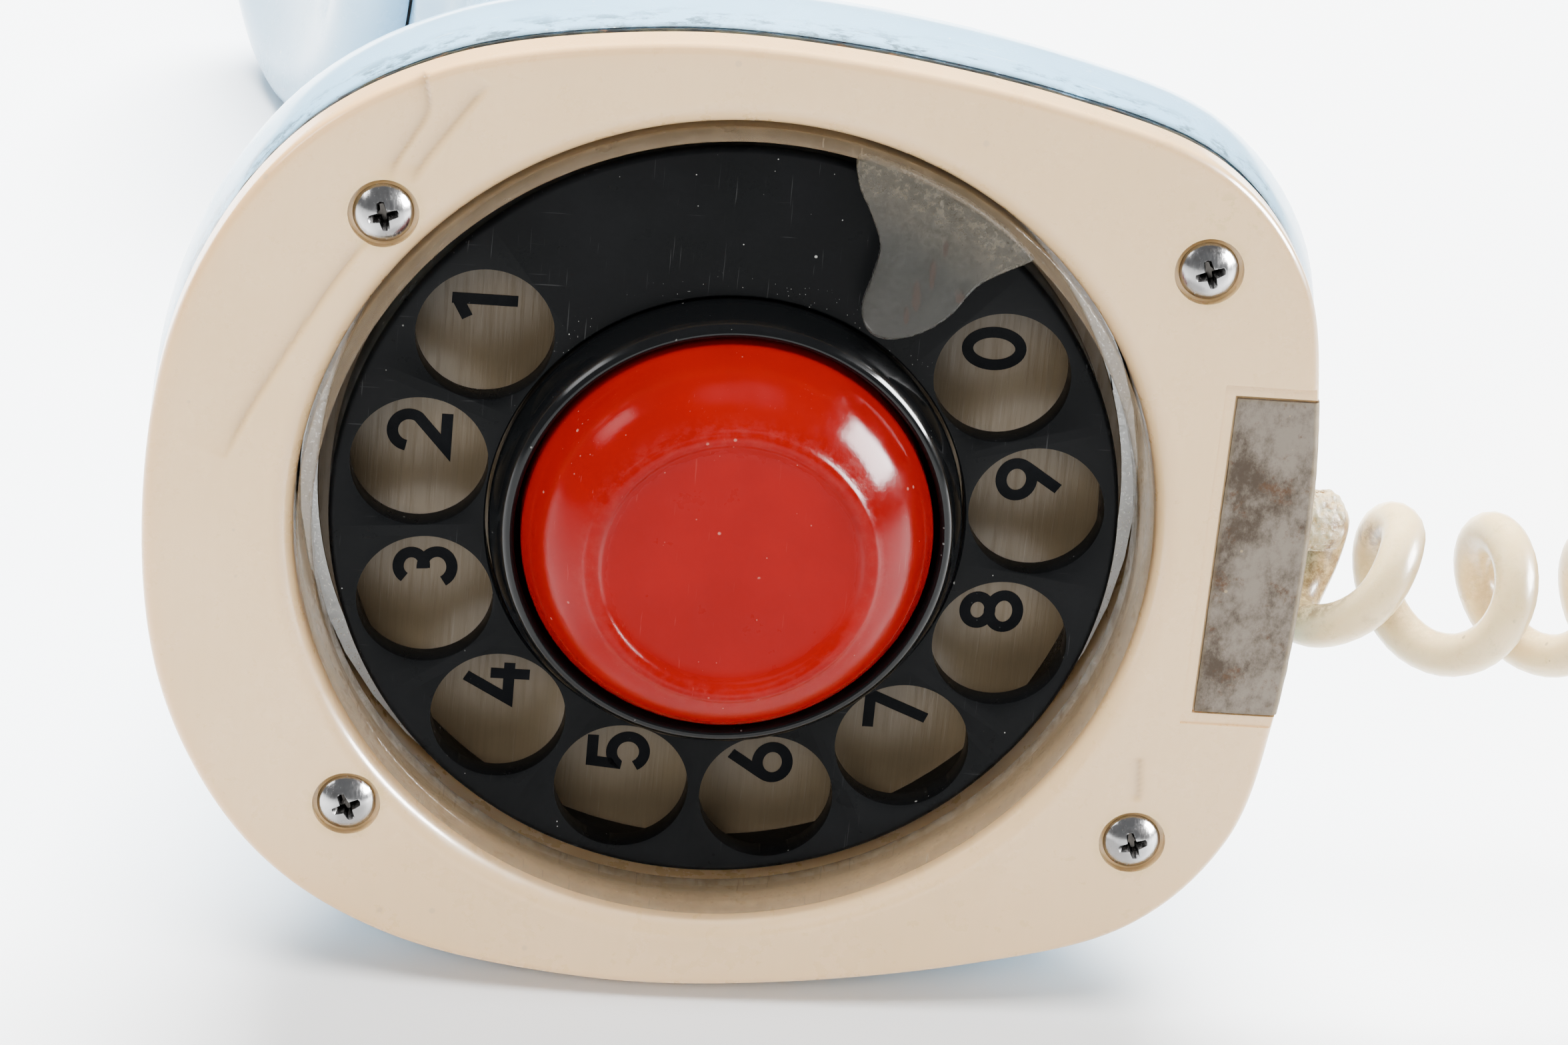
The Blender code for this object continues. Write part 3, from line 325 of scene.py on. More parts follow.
def red_paint():
    """Glossy red, rubbed along the button's crest and duller on its flat middle."""
    paint = Paint("red_button", (0.22, 0.002, 0.001), 0.16, Specular_IOR_Level=0.10)
    paint.blend(paint.patch(14.0, 4.0), (0.185, 0.0009, 0.0006), (0.22, 0.0012, 0.0008))
    out = paint.from_axis()
    crest = paint.times(paint.span(out, 11.6, 12.7), paint.span(out, 15.6, 13.6))
    worn = paint.times(crest, paint.patch(1.1, 6.0, 0.75, 0.40, 0.66))
    paint.tint(worn, 0.12, (0.26, 0.05, 0.04))
    paint.tint(paint.dots(0.9, 0.40, 2.0, 0.43), 0.6, (0.42, 0.17, 0.14))
    paint.tint(paint.scratches(0.2, (1, 22, 1), 0.71, 0.76), 0.14, (0.38, 0.10, 0.08))
    dull = paint.plus(paint.times(paint.span(out, 12.4, 11.2), 0.16), paint.times(worn, 0.1))
    paint.put("Roughness", paint.plus(paint.patch(3.0, 5.0, 0.6, 0.3, 0.75, out=(0.11, 0.2)), dull))
    first = paint.bump(paint.noise(0.5, 4.0, 0.6), 0.010)
    paint.bump(worn, 0.006, first)
    return paint


def number_paint():
    # Painted shade: the plate's colours are a dark brown, far darker than its own beige, standing in for the
    # shade under the finger wheel.
    paint = Paint("number_plate_paint", (0.075, 0.055, 0.032), 0.38, Specular_IOR_Level=0.3)
    paint.blend(paint.patch(11.0, 4.0), (0.088, 0.064, 0.037), (0.112, 0.083, 0.049))
    brush = paint.patch(0.35, 4.0, 0.6, 0.35, 0.75, (1, 26, 1))
    paint.tint(brush, 0.22, (0.058, 0.042, 0.024))
    paint.tint(paint.scratches(0.14, (1, 50, 1), 0.66, 0.74), 0.4, (0.14, 0.115, 0.085))
    paint.put("Roughness", paint.span(brush, 0.0, 1.0, 0.3, 0.48))
    paint.bump(brush, 0.01)
    return paint


def clear_paint():
    """Clear plastic, stained and scuffed. It thickens to grey at glancing angles."""
    paint = Paint("clear_ring", (0.22, 0.16, 0.095), 0.08, Specular_IOR_Level=0.4)
    haze = paint.patch(2.0, 5.0, 0.6, 0.3, 0.8, out=(0.2, 0.3))
    cover = paint.plus(haze, paint.times(paint.scratches(0.3, (1, 12, 1), 0.66, 0.72), 0.2))
    paint.put("Alpha", paint.math("ADD", cover, paint.times(paint.facing(0.35), 0.4), clamp=True))
    paint.blend(paint.specks(1.3, 0.45), (0.24, 0.175, 0.105), (0.5, 0.46, 0.38))
    paint.gloss(1.5, 4.0, 0.5, 0.04, 0.2)
    paint.bump(paint.noise(5.0), 0.05)
    return paint


def stop_paint():
    """The finger stop: sand-blasted grey near the ring, clearer towards its tip, brown stains."""
    paint = Paint("frosted_stop", (0.10, 0.095, 0.08), 0.3, Specular_IOR_Level=0.35)
    grain = paint.noise(0.75, 6.0, 0.75)
    frost = paint.span(paint.from_axis(), 31.5, 38.0)
    sand = paint.times(paint.span(grain, 0.30, 0.72, 0.35, 1.0), frost)
    paint.blend(sand, (0.040, 0.038, 0.032), (0.078, 0.064, 0.042))
    paint.tint(paint.patch(0.9, 6.0, 0.8, 0.50, 0.66, shift=(5, 2, 1)), 0.2, (0.12, 0.115, 0.10))
    blot = 0.0
    for x, y, wide, long in STOP_STAINS:
        far = paint.distance((x, y, 0), (1 / wide, 1 / long, 0))
        spot = paint.plus(far, paint.times(grain, 1.3))
        blot = paint.most(paint.span(spot, 1.55, 1.25), blot)
    paint.tint(blot, 0.95, (0.022, 0.009, 0.003))
    cover = paint.plus(paint.times(sand, 0.42), paint.span(grain, 0.35, 0.7, 0.36, 0.5))
    cover = paint.plus(cover, paint.times(paint.facing(0.4), 0.45))
    paint.put("Alpha", paint.math("MAXIMUM", cover, paint.times(blot, 0.8), clamp=True))
    paint.put("Roughness", paint.span(grain, 0.3, 0.7, 0.16, 0.4))
    paint.bump(paint.times(grain, paint.plus(sand, 0.25)), 0.05)
    return paint


def blue_paint():
    paint = Paint("pale_blue_case", (0.27, 0.49, 0.665), 0.22, Coat_Weight=0.35, Coat_Roughness=0.06,
                  Subsurface_Weight=0.05, Subsurface_Scale=0.002)
    paint.blend(paint.patch(30.0, 4.0), (0.25, 0.465, 0.64), (0.29, 0.51, 0.685))
    height = paint.axis("Z")
    foot = paint.times(paint.span(height, -6.5, -2.0), paint.patch(1.6, 6.0, 0.75, 0.48, 0.62, (2.5, 2.5, 1)))
    seam = paint.times(paint.span(height, -3.0, -1.9),
                       paint.patch(2.2, 6.0, 0.75, 0.35, 0.5, (1.5, 1.5, 1), (4, 4, 1)))
    paint.tint(paint.most(foot, seam), 0.85, (0.035, 0.034, 0.022))
    paint.tint(paint.dots(1.5, 0.36, 3.1, 0.43), 0.6, (0.85, 0.88, 0.88))
    paint.tint(paint.scratches(0.3, (18, 18, 1), 0.71, 0.75, (2, 2, 7)), 0.3, (0.8, 0.85, 0.87))
    paint.gloss(7.0, 6.0, 0.65, 0.15, 0.34)
    first = paint.bump(paint.noise(12.0, 2.0), 0.08)
    paint.bump(paint.noise(0.6), 0.006, first)
    return paint


def gasket_paint():
    paint = Paint("dirty_rubber", (0.010, 0.0095, 0.008), 0.7, Specular_IOR_Level=0.15)
    grime = paint.patch(1.3, 6.0, 0.8, 0.44, 0.66, (2.4, 2.4, 0.7))
    paint.blend(grime, (0.006, 0.006, 0.0055), (0.045, 0.042, 0.024))
    paint.tint(paint.patch(2.6, 5.0, 0.7, 0.58, 0.68, shift=(9, 3, 3)), 0.6, (0.13, 0.055, 0.018))
    paint.put("Roughness", paint.span(grime, 0, 1, 0.45, 0.9))
    paint.bump(grime, 0.15)
    return paint


def steel_plate_paint():
    """Old plated steel: brown-grey clouds of tarnish, rust, and a paler folded edge."""
    paint = Paint("patinated_sheet", (0.085, 0.066, 0.048), 0.42, Metallic=0.5, Specular_IOR_Level=0.3)
    clouds = paint.patch(6.0, 7.0, 0.75, 0.38, 0.62, (1, 1.4, 1))
    paint.blend(clouds, (0.040, 0.028, 0.018), (0.150, 0.125, 0.100))
    paint.tint(paint.patch(3.2, 7.0, 0.8, 0.54, 0.68, shift=(4, 8, 1)), 0.8, (0.060, 0.026, 0.009))
    bright = paint.patch(1.6, 5.0, 0.7, 0.3, 0.6, out=(0.5, 1.0))
    paint.tint(paint.attribute("fold"), bright, (0.12, 0.09, 0.05))
    paint.tint(paint.dots(1.0, 0.40, 2.3, 0.46), 0.7, (0.28, 0.21, 0.12))
    paint.gloss(1.2, 6.0, 0.7, 0.3, 0.6)
    paint.bump(paint.noise(0.9, 6.0, 0.7), 0.03)
    return paint


def cord_paint():
    paint = Paint("cream_cord", (0.70, 0.58, 0.35), 0.33, Coat_Weight=0.25, Coat_Roughness=0.15,
                  Subsurface_Weight=0.15, Subsurface_Scale=0.002)
    paint.blend(paint.patch(9.0, 5.0, 0.6), (0.62, 0.46, 0.225), (0.70, 0.54, 0.29))
    paint.tint(paint.patch(2.2, 6.0, 0.75, 0.52, 0.72), 0.35, (0.33, 0.24, 0.12))
    # Brown dirt along the crusted first length, and painted shade on the inside of the coil's turns, from the
    # 'inner' attribute.
    dirt_and_shade = paint.times(paint.attribute("inner"), paint.patch(1.2, 6.0, 0.8, 0.36, 0.6, shift=(2, 2, 2)))
    paint.tint(dirt_and_shade, 0.8, (0.17, 0.095, 0.032))
    paint.tint(paint.dots(1.4, 0.40, 3.0, 0.45), 0.7, (0.22, 0.17, 0.11))
    paint.gloss(2.5, 6.0, 0.7, 0.26, 0.5)
    paint.bump(paint.noise(1.6, 6.0, 0.65), 0.05)
    return paint


def crust_paint():
    paint = Paint("crusted_end", (0.60, 0.45, 0.22), 0.4, Coat_Weight=0.2, Coat_Roughness=0.15)
    lumps = paint.noise(1.4, 6.0, 0.75)
    paint.blend(paint.span(lumps, 0.35, 0.65), (0.52, 0.34, 0.13), (0.66, 0.54, 0.32))
    flakes = paint.span(paint.cells(0.9), 0.35, 0.75)
    paint.tint(flakes, 0.5, (0.62, 0.56, 0.38))
    paint.tint(paint.patch(1.9, 6.0, 0.8, 0.50, 0.60, shift=(6, 1, 2)), 0.75, (0.20, 0.085, 0.022))
    paint.tint(paint.patch(2.2, 4.0, 0.7, 0.60, 0.68, shift=(1, 7, 7)), 0.5, (0.34, 0.42, 0.34))
    paint.put("Roughness", paint.span(lumps, 0.3, 0.7, 0.22, 0.6))
    first = paint.bump(lumps, 0.35)
    paint.bump(flakes, 0.10, first)
    return paint


def floor_paint():
    """White paper, very slightly uneven, with painted shade that greys it towards the viewer."""
    paint = Paint("studio_floor", (0.80, 0.815, 0.825), 0.55, Specular_IOR_Level=0.2)
    paint.blend(paint.patch(420.0, 2.0), (0.86, 0.875, 0.885), (0.88, 0.89, 0.895))
    # Painted shade: grey towards the viewer, standing in for the phone's shadow on the floor.
    paint.tint(paint.span(paint.axis("Y"), -70.0, -260.0), 1.0, (0.44, 0.45, 0.45))
    return paint


# ---------------------------------------------------------------- shape helpers


def new_piece(name, points, faces, paint, sharp=35.0):
    """A mesh from points in mm in the phone's frame, its object standing in that frame."""
    mesh = bpy.data.meshes.new(name)
    mesh.from_pydata((np.asarray(points, float) * MM).tolist(), [], faces)
    mesh.validate()
    obj = bpy.data.objects.new(name, mesh)
    bpy.context.scene.collection.objects.link(obj)
    obj.matrix_world = ROOT
    obj.data.materials.append(paint.mat)
    smooth(obj, sharp)
    return obj


def smooth(obj, sharp=35.0):
    obj.data.shade_smooth()
    if sharp < 180:
        obj.data.set_sharp_from_angle(angle=math.radians(sharp))
    return obj


def coordinates(obj):
    return np.array([v.co for v in obj.data.vertices]) / MM


def settle(obj, body, nodes):
    """Puts a finished piece on its body, in the place of CAD nodes."""
    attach(obj, body)
    if nodes:
        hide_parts(*nodes)
    return obj


def applied(obj, sharp=35.0):
    """Applies the modifiers."""
    bpy.context.view_layer.update()
    graph = bpy.context.evaluated_depsgraph_get()
    mesh = bpy.data.meshes.new_from_object(obj.evaluated_get(graph))
    obj.modifiers.clear()
    obj.data = mesh
    return smooth(obj, sharp)


def rounded(obj, width, segments, angle):
    """Rounds the edges sharper than an angle, when the modifiers are applied."""
    rounder = obj.modifiers.new("round", "BEVEL")
    rounder.width = width * MM
    rounder.segments = segments
    rounder.limit_method = "ANGLE"
    rounder.angle_limit = math.radians(angle)
    rounder.harden_normals = False


def carve(obj, cutters, operation="DIFFERENCE", sharp=35.0, bevel=0.0):
    """Cuts with, or joins, other shapes, which go away. It can round the new edges."""
    for cutter in cutters:
        change = obj.modifiers.new("carve", "BOOLEAN")
        change.operation = operation
        change.solver = "EXACT"
        change.object = cutter
    if bevel:
        rounded(obj, bevel, 2, 50)
    applied(obj, sharp)
    for cutter in cutters:
        bpy.data.objects.remove(cutter, do_unlink=True)
    return obj


def grid_faces(rows, count, close_rows=False, wrap=True, start=0):
    """Quads over rows of count points each."""
    faces = []
    for r in range(rows if close_rows else rows - 1):
        a, b = start + r * count, start + (r + 1) % rows * count
        for i in range(count if wrap else count - 1):
            j = (i + 1) % count
            faces.append((a + i, a + j, b + j, b + i))
    return faces


def caps(rows, count, start=0):
    """The two end faces of a tube of rows of count points each."""
    last = start + (rows - 1) * count
    return [tuple(range(start + count - 1, start - 1, -1)), tuple(range(last, last + count))]


def ellipse(cx, cy, rx, ry, start, end, steps=40):
    angles = np.radians(np.linspace(start, end, steps + 1))
    return [(cx + rx * math.cos(t), cy + ry * math.sin(t)) for t in angles]


def arc(cx, cy, radius, start, end, steps):
    return ellipse(cx, cy, radius, radius, start, end, steps)


def polar(radius, degrees):
    return radius * math.cos(math.radians(degrees)), radius * math.sin(math.radians(degrees))


def lathe(name, profile, paint, segments, sharp):
    """Turns a closed (r, z) profile about Z. It runs down the outside of the solid and back up the
    inside. One that starts and ends on the axis is closed there by fans."""
    fanned = profile[0][0] == 0 and profile[-1][0] == 0
    ring = profile[1:-1] if fanned else profile
    angles = np.arange(segments) * 2 * math.pi / segments
    points = [(r * math.cos(a), r * math.sin(a), z) for r, z in ring for a in angles]
    faces = [f[::-1] for f in grid_faces(len(ring), segments, not fanned)]
    if fanned:
        points += [(0, 0, profile[0][1]), (0, 0, profile[-1][1])]
        top, low = len(points) - 2, len(points) - 1
        last = (len(ring) - 1) * segments
        for i in range(segments):
            j = (i + 1) % segments
            faces += [(top, i, j), (low, last + j, last + i)]
    return new_piece(name, points, faces, paint, sharp)


def prism(name, outline, z_low, z_high, paint=None):
    """A closed prism over a simple outline in mm."""
    points = [(x, y, z) for z in (z_low, z_high) for x, y in outline]
    return new_piece(name, points, caps(2, len(outline)) + grid_faces(2, len(outline)), paint or PLAIN)


def moved(place, turn=0.0, axis="Z"):
    """A move to a place in mm after a turn."""
    return Matrix.Translation(Vector(place) * MM) @ Matrix.Rotation(turn, 4, axis)


def block(name, size, centre):
    """A box in mm."""
    x, y, z = (side / 2 for side in size)
    obj = prism(name, [(-x, -y), (x, -y), (x, y), (-x, y)], -z, z)
    obj.data.transform(moved(centre))
    return obj


def circle(x, y, radius, count):
    turn = 2 * math.pi / count
    return [(x + radius * math.cos(turn * i), y + radius * math.sin(turn * i)) for i in range(count)]


def spline(a, b, c, d, t):
    """The place t of the way from b to c on a smooth curve that comes from a and goes on to d."""
    return 0.5 * (2 * b + (c - a) * t + (2 * a - 5 * b + 4 * c - d) * t * t
                  + (3 * b - a - 3 * c + d) * t ** 3)


def with_ends(places):
    """Places with one more at each end, for a spline through them all."""
    return [2 * places[0] - places[1]] + places + [2 * places[-1] - places[-2]]


def curve_through(points, spacing):
    """Points along a smooth curve through a route, about spacing apart."""
    places = [Vector(p) for p in points]
    ends = with_ends(places)
    route = []
    for a, b, c, d in zip(ends, ends[1:], ends[2:], ends[3:]):
        steps = max(1, round((c - b).length / spacing))
        route += [spline(a, b, c, d, i / steps) for i in range(steps)]
    return route + [places[-1]]


def flat_curve(knots, spacing):
    """The same for 2-D knots."""
    return [(p.x, p.y) for p in curve_through([(*knot, 0) for knot in knots], spacing)]


def axis_matrix(place, direction):
    """A frame at a place in mm with its +Z along a direction."""
    return moved(place) @ Vector(direction).to_track_quat("Z", "Y").to_matrix().to_4x4()


# The cutters' material.
PLAIN = Paint("guide", (0.5, 0.5, 0.5), 0.5)


# ---------------------------------------------------------------- base outline

HALF_OUTLINE = ((55.0, 0.0), (54.2, 16.0), (51.3, 29.3), (42.5, 39.2), (27.6, 44.2), (8.0, 47.4),
                (-10.0, 47.8), (-29.0, 44.2), (-43.0, 35.2), (-52.0, 19.5), (-54.6, 0.0))


def closed_curve(knots, steps):
    """A closed smooth curve through 2-D knots, as an array."""
    p = np.array(knots, float)
    n = len(p)
    return np.array([spline(p[i - 1], p[i], p[(i + 1) % n], p[(i + 2) % n], t)
                     for i in range(n) for t in np.arange(steps) / steps])


OUTLINE = closed_curve(HALF_OUTLINE + tuple((x, -y) for x, y in HALF_OUTLINE[-2:0:-1]), 24)
OUTLINE_ANGLE = np.arctan2(OUTLINE[:, 1], OUTLINE[:, 0]) % (2 * math.pi)
OUTLINE_REACH = np.hypot(OUTLINE[:, 0], OUTLINE[:, 1])


def reach(angles):
    """Distance from the dial's axis to the base outline."""
    order = np.argsort(OUTLINE_ANGLE)
    return np.interp(angles, OUTLINE_ANGLE[order], OUTLINE_REACH[order], period=2 * math.pi)


def back_edge(y):
    """The outline's x at the phone's back, for a y."""
    side = OUTLINE[OUTLINE[:, 0] > 30]
    order = np.argsort(side[:, 1])
    return np.interp(y, side[order, 1], side[order, 0])


def ripple(x, y, z, size, seed=0.0):
    """Smooth noise at many points, about -1 to 1."""
    return np.array([noise.noise(Vector((a / size + seed, b / size, c / size)))
                     for a, b, c in zip(x, y, z)])


# ---------------------------------------------------------------- base plate

CRACKS = (
    ((-31.6, 44.6), (-30.9, 42.3), (-30.6, 40.1), (-31.9, 37.3), (-33.1, 35.1), (-33.6, 33.4)),
    ((-25.4, 43.0), (-28.6, 38.3), (-30.6, 35.3), (-31.6, 33.2)),
    ((-34.6, 28.4), (-36.3, 26.1), (-38.0, 23.3), (-40.6, 18.8), (-43.0, 14.3), (-45.4, 9.6), (-47.3, 5.0)),
    ((41.6, -20.4), (41.8, -22.4), (42.1, -25.2)),
)
CRACK_DEPTH = (0.42, 0.36, 0.40, 0.25)
CRACK_WIDTH = (1.5, 2.2, 2.6, 0.8)


def crack_field(x, y):
    """Depth in mm of the creases in the plate and their darkening from 0 to 1, at many points. The darkening
    is painted shade with some brown dirt, wider on each crease's gentle side.
    """
    depth = np.zeros(len(x))
    dirt_and_shade = np.zeros(len(x))
    for line, deep, wide in zip(CRACKS, CRACK_DEPTH, CRACK_WIDTH):
        path = np.array(flat_curve(line, 0.5))
        box_hit = ((x > path[:, 0].min() - 9) & (x < path[:, 0].max() + 9)
                   & (y > path[:, 1].min() - 9) & (y < path[:, 1].max() + 9))
        at = np.nonzero(box_hit)[0]
        best = np.full(len(at), 1e9)
        side = np.zeros(len(at))
        along = np.zeros(len(at))
        for k, (a, b) in enumerate(zip(path, path[1:])):
            ab = b - a
            t = np.clip(((x[at] - a[0]) * ab[0] + (y[at] - a[1]) * ab[1]) / (ab @ ab), 0, 1)
            dx, dy = x[at] - a[0] - t * ab[0], y[at] - a[1] - t * ab[1]
            far = np.hypot(dx, dy)
            nearer = far < best
            best[nearer] = far[nearer]
            side[nearer] = np.sign(ab[0] * dy - ab[1] * dx)[nearer]
            along[nearer] = ((k + t) / (len(path) - 1))[nearer]
        taper = np.clip(np.minimum(along, 1 - along) * 7, 0, 1) ** 0.7
        gentle = side < 0
        fall = np.where(gentle, np.exp(-(best / wide) ** 1.3), np.exp(-(best / 0.28) ** 2))
        depth[at] = np.maximum(depth[at], deep * taper * fall)
        # Painted shade with some dirt beside the crease, wider on its gentle side.
        darker_mark = np.where(gentle, np.exp(-best / 0.55), np.exp(-(best / 0.22) ** 2)) * taper
        dirt_and_shade[at] = np.maximum(dirt_and_shade[at], darker_mark)
    return depth, dirt_and_shade


def set_attribute(obj, name, values):
    layer = obj.data.attributes.new(name, "FLOAT", "POINT")
    layer.data.foreach_set("value", np.asarray(values, np.float32))


def base_plate(paint):
    count = 1260
    a = np.arange(count) * 2 * math.pi / count
    edge = reach(a)
    rows = [(edge, 0.15), (edge, 1.2), (edge, 2.2)]
    for t in np.radians(np.linspace(0, 90, 7)):
        rows.append((edge - RIM_R * (1 - math.cos(t)), BASE_Z - RIM_R + RIM_R * math.sin(t)))
    for t in np.linspace(0, 1, 46)[1:]:
        rows.append(((edge - RIM_R) * (1 - t) + (WELL_R + LIP_R) * t, BASE_Z))
    rows += arc(WELL_R + LIP_R, BASE_Z - LIP_R, LIP_R, 90, 180, 12)[1:]
    rows += [(WELL_R, -3.0), (WELL_R, WELL_DEPTH), (WELL_R + 1.3, WELL_DEPTH), (WELL_R + 1.3, 2.2),
             (edge - 1.5, 2.2), (edge - 1.5, 0.15)]
    r = np.concatenate([radius + 0 * edge for radius, _ in rows])
    z = np.repeat([height for _, height in rows], count).astype(float)
    angle = np.tile(a, len(rows))
    x, y = r * np.cos(angle), r * np.sin(angle)
    inset = np.tile(edge, len(rows)) - r
    top = z > 2.3
    depth, _ = crack_field(x, y)
    wave = ripple(x, y, 0 * x, 13.0) * 0.07 * np.clip((r - WELL_R - 1.5) / 3, 0, 1) * np.clip(inset, 0, 1)
    z = np.where(top, z + wave - depth, z)
    plate = new_piece("base_plate_moulding", np.stack([x, y, z], 1),
                      [f[::-1] for f in grid_faces(len(rows), count, True)], paint, 40)
    cutters = [prism("seat", circle(px, py, SCREW_HEAD_R + 0.45, 48), BASE_Z - 0.95, BASE_Z + 3)
               for px, py in SCREW_PLACES]
    cutters += [prism("bore", circle(px, py, 1.75, 32), -1.5, BASE_Z - 0.5) for px, py in SCREW_PLACES]
    for margin, x, z in ((1.35, 10.75, 0.72), (0.25, 11.8, 0.25)):
        size = (24.0, 2 * (STEEL_HALF + margin), 2.0)
        cutters.append(block("step", size, (STEEL_X + x, STEEL_Y, BASE_Z + z)))
    for cutter in cutters:
        carve(plate, [cutter])
    co = coordinates(plate)
    _, dirt_and_shade = crack_field(co[:, 0], co[:, 1])
    flat_angle = np.arctan2(co[:, 1], co[:, 0])
    inset = reach(flat_angle % (2 * math.pi)) - np.hypot(co[:, 0], co[:, 1])
    left = 0.35 + 0.65 * np.clip((20 - co[:, 0]) / 60, 0, 1)
    set_attribute(plate, "crack", np.where(co[:, 2] > 2.4, dirt_and_shade, 0))
    set_attribute(plate, "rim", np.clip(np.exp(-inset / 0.9), 0, 1) * left)
    return settle(plate, "phone", ["base_plate"])


def gasket(paint):
    count = 900
    a = np.arange(count) * 2 * math.pi / count
    edge = reach(a)
    rows = [(0.7, 0.05), (0.22, -0.1), (0.12, -0.75), (0.2, -1.4), (0.75, -1.62), (2.6, -1.6), (2.6, 0.02)]
    points = []
    for inset, z in rows:
        x, y = (edge - inset) * np.cos(a), (edge - inset) * np.sin(a)
        lump = ripple(x, y, z + 0 * x, 1.6) * 0.12 + ripple(x, y, z + 0 * x, 0.6, 7.0) * 0.06
        if inset > 2:
            lump = 0 * lump
        points.append(np.stack([x + lump * np.cos(a), y + lump * np.sin(a), z + 0 * x], 1))
    band = new_piece("dirty_gasket", np.concatenate(points), grid_faces(len(rows), count, True), paint, 60)
    return settle(band, "phone", ["base_gasket"])


def screw(index, x, y, paint):
    """A plated screw: an oval head with rounded edge and a tapered cross recess."""
    top, low = BASE_Z + 0.95, BASE_Z - 0.35
    dome = [(SCREW_HEAD_R * s, low + (top - low) * (1 - s ** 2.6)) for s in np.linspace(0.08, 0.96, 12)]
    profile = [(0.0, top)] + dome + [(SCREW_HEAD_R, low - 0.05), (SCREW_HEAD_R - 0.1, low - 0.3),
                                     (1.4, low - 0.3), (1.4, -9.0), (0.0, -9.6)]
    made = lathe(f"cross_screw_{index}", profile, paint, 64, 40)
    arm, waist, depth = 1.72, 0.60, 1.55
    outline = []
    for k in range(4):
        for r, t in ((arm, -14), (arm + 0.08, 0), (arm, 14), (waist * 1.25, 45)):
            outline.append(polar(r, 90 * k + t))
    cross = prism("cross", outline, top - depth, top + 0.5)
    for v in cross.data.vertices:
        if v.co.z < (top - 0.5) * MM:
            v.co.x *= 0.45
            v.co.y *= 0.45
    carve(made, [cross], sharp=30, bevel=0.05)
    co = coordinates(made)
    r = np.hypot(co[:, 0], co[:, 1])
    dome_z = low + (top - low) * (1 - np.clip(r / SCREW_HEAD_R, 0, 1) ** 2.6)
    sunk = np.clip((dome_z - co[:, 2] - 0.05) / 0.35, 0, 1)
    # The 'pit' mask marks the cross recess for its painted shade.
    set_attribute(made, "pit", sunk * (r < 1.9) * (co[:, 2] > 2.9))
    turn = math.radians((16, 20, 26, 19)[index - 1])
    made.data.transform(moved((x, y, 0), turn))
    return settle(made, "phone", [f"base_screw_{index}"])


def steel_sheet(paint):
    """The sheet at the base's back edge, its outer edge folded down over the plate's rim."""
    columns = 150
    y = np.linspace(STEEL_Y - STEEL_HALF, STEEL_Y + STEEL_HALF, columns)
    edge = back_edge(y) + 0.12
    rows, fold = [], []
    for t in np.linspace(0, 1, 24):
        rows.append(np.stack([STEEL_X + (edge - FOLD_R - STEEL_X) * t, y, BASE_Z - 0.12 + 0 * y], 1))
        fold.append(0.5 * (t < 0.001))
    for t in np.radians(np.linspace(12, 90, 9)):
        z = BASE_Z - 0.12 - FOLD_R * (1 - math.cos(t))
        rows.append(np.stack([edge - FOLD_R * (1 - math.sin(t)), y, z + 0 * y], 1))
        fold.append(0.35 + 0.65 * math.sin(t))
    for z in (1.6, 0.5):
        rows.append(np.stack([edge + 0 * y, y, z + 0 * y], 1))
        fold.append(0.8)
    inner = [np.stack([np.maximum(row[:, 0] - 0.35, STEEL_X), row[:, 1],
                       np.minimum(row[:, 2], BASE_Z - 0.5)], 1) for row in rows[::-1]]
    fold += [0.0] * len(inner)
    rows += inner
    points = np.concatenate(rows)
    bend = ripple(points[:, 0], points[:, 1], points[:, 2], 6.0) * 0.05
    ragged = ripple(points[:, 0], points[:, 1], points[:, 2], 1.3, 4.0) * 0.05
    points[:, 2] += bend
    points[:, 0] += ragged * (np.repeat(fold, columns) > 0.3)
    faces = grid_faces(len(rows), columns, True, wrap=False)
    half = len(rows) // 2
    for i in range(half - 1):
        j = len(rows) - 1 - i
        for column, turn in ((0, 1), (columns - 1, -1)):
            quad = (i * columns + column, (i + 1) * columns + column,
                    (j - 1) * columns + column, j * columns + column)
            faces.append(quad[::turn])
    sheet = new_piece("folded_steel_sheet", points, faces, paint, 40)
    ends = np.clip(1 - (y - y[0]) / 0.4, 0, 1) + np.clip(1 - (y[-1] - y) / 0.4, 0, 1)
    set_attribute(sheet, "fold", np.clip(np.repeat(fold, columns) + 0.35 * np.tile(ends, len(rows)), 0, 1))
    return settle(sheet, "phone", ["rear_steel_plate"])


# ---------------------------------------------------------------- dial


def hole_places():
    return [polar(HOLE_PITCH_R, FIRST_HOLE + HOLE_STEP * i) for i in range(10)]


def finger_wheel(paint):
    r_in = HUB_R + 0.3
    profile = [(r_in, -0.15), (r_in + 0.15, 0.0), (WHEEL_R - 0.7, 0.0)]
    profile += arc(WHEEL_R - 0.6, -0.6, 0.6, 80, 0, 6)
    profile += [(WHEEL_R, -5.8), (36.2, -5.8), (36.2, -2.9), (35.9, -2.6), (r_in, -2.6)]
    wheel = lathe("finger_wheel_moulding", profile, paint, 240, 35)
    cutters = [prism("hole", circle(x, y, HOLE_R, 96), -4.2, 3.0) for x, y in hole_places()]
    for cutter in cutters:
        carve(wheel, [cutter])
    rounded(wheel, 0.16, 2, 50)
    applied(wheel, 30)
    return settle(wheel, "dial", ["finger_wheel"])


def hub_ring(paint):
    roll = flat_curve(((22.4, -0.8), (22.4, 0.5), (22.1, 1.9), (21.6, 3.15), (20.95, 4.0), (20.4, 4.08),
                       (20.06, 3.6), (20.0, 2.4)), 0.22)
    profile = roll[::-1] + [(HUB_R, -2.9), (20.9, -3.4), (20.9, -13.5), (20.0, -13.5)]
    ring = lathe("hub_roll", profile, paint, 200, 50)
    return settle(ring, "dial", ["hub_ring"])


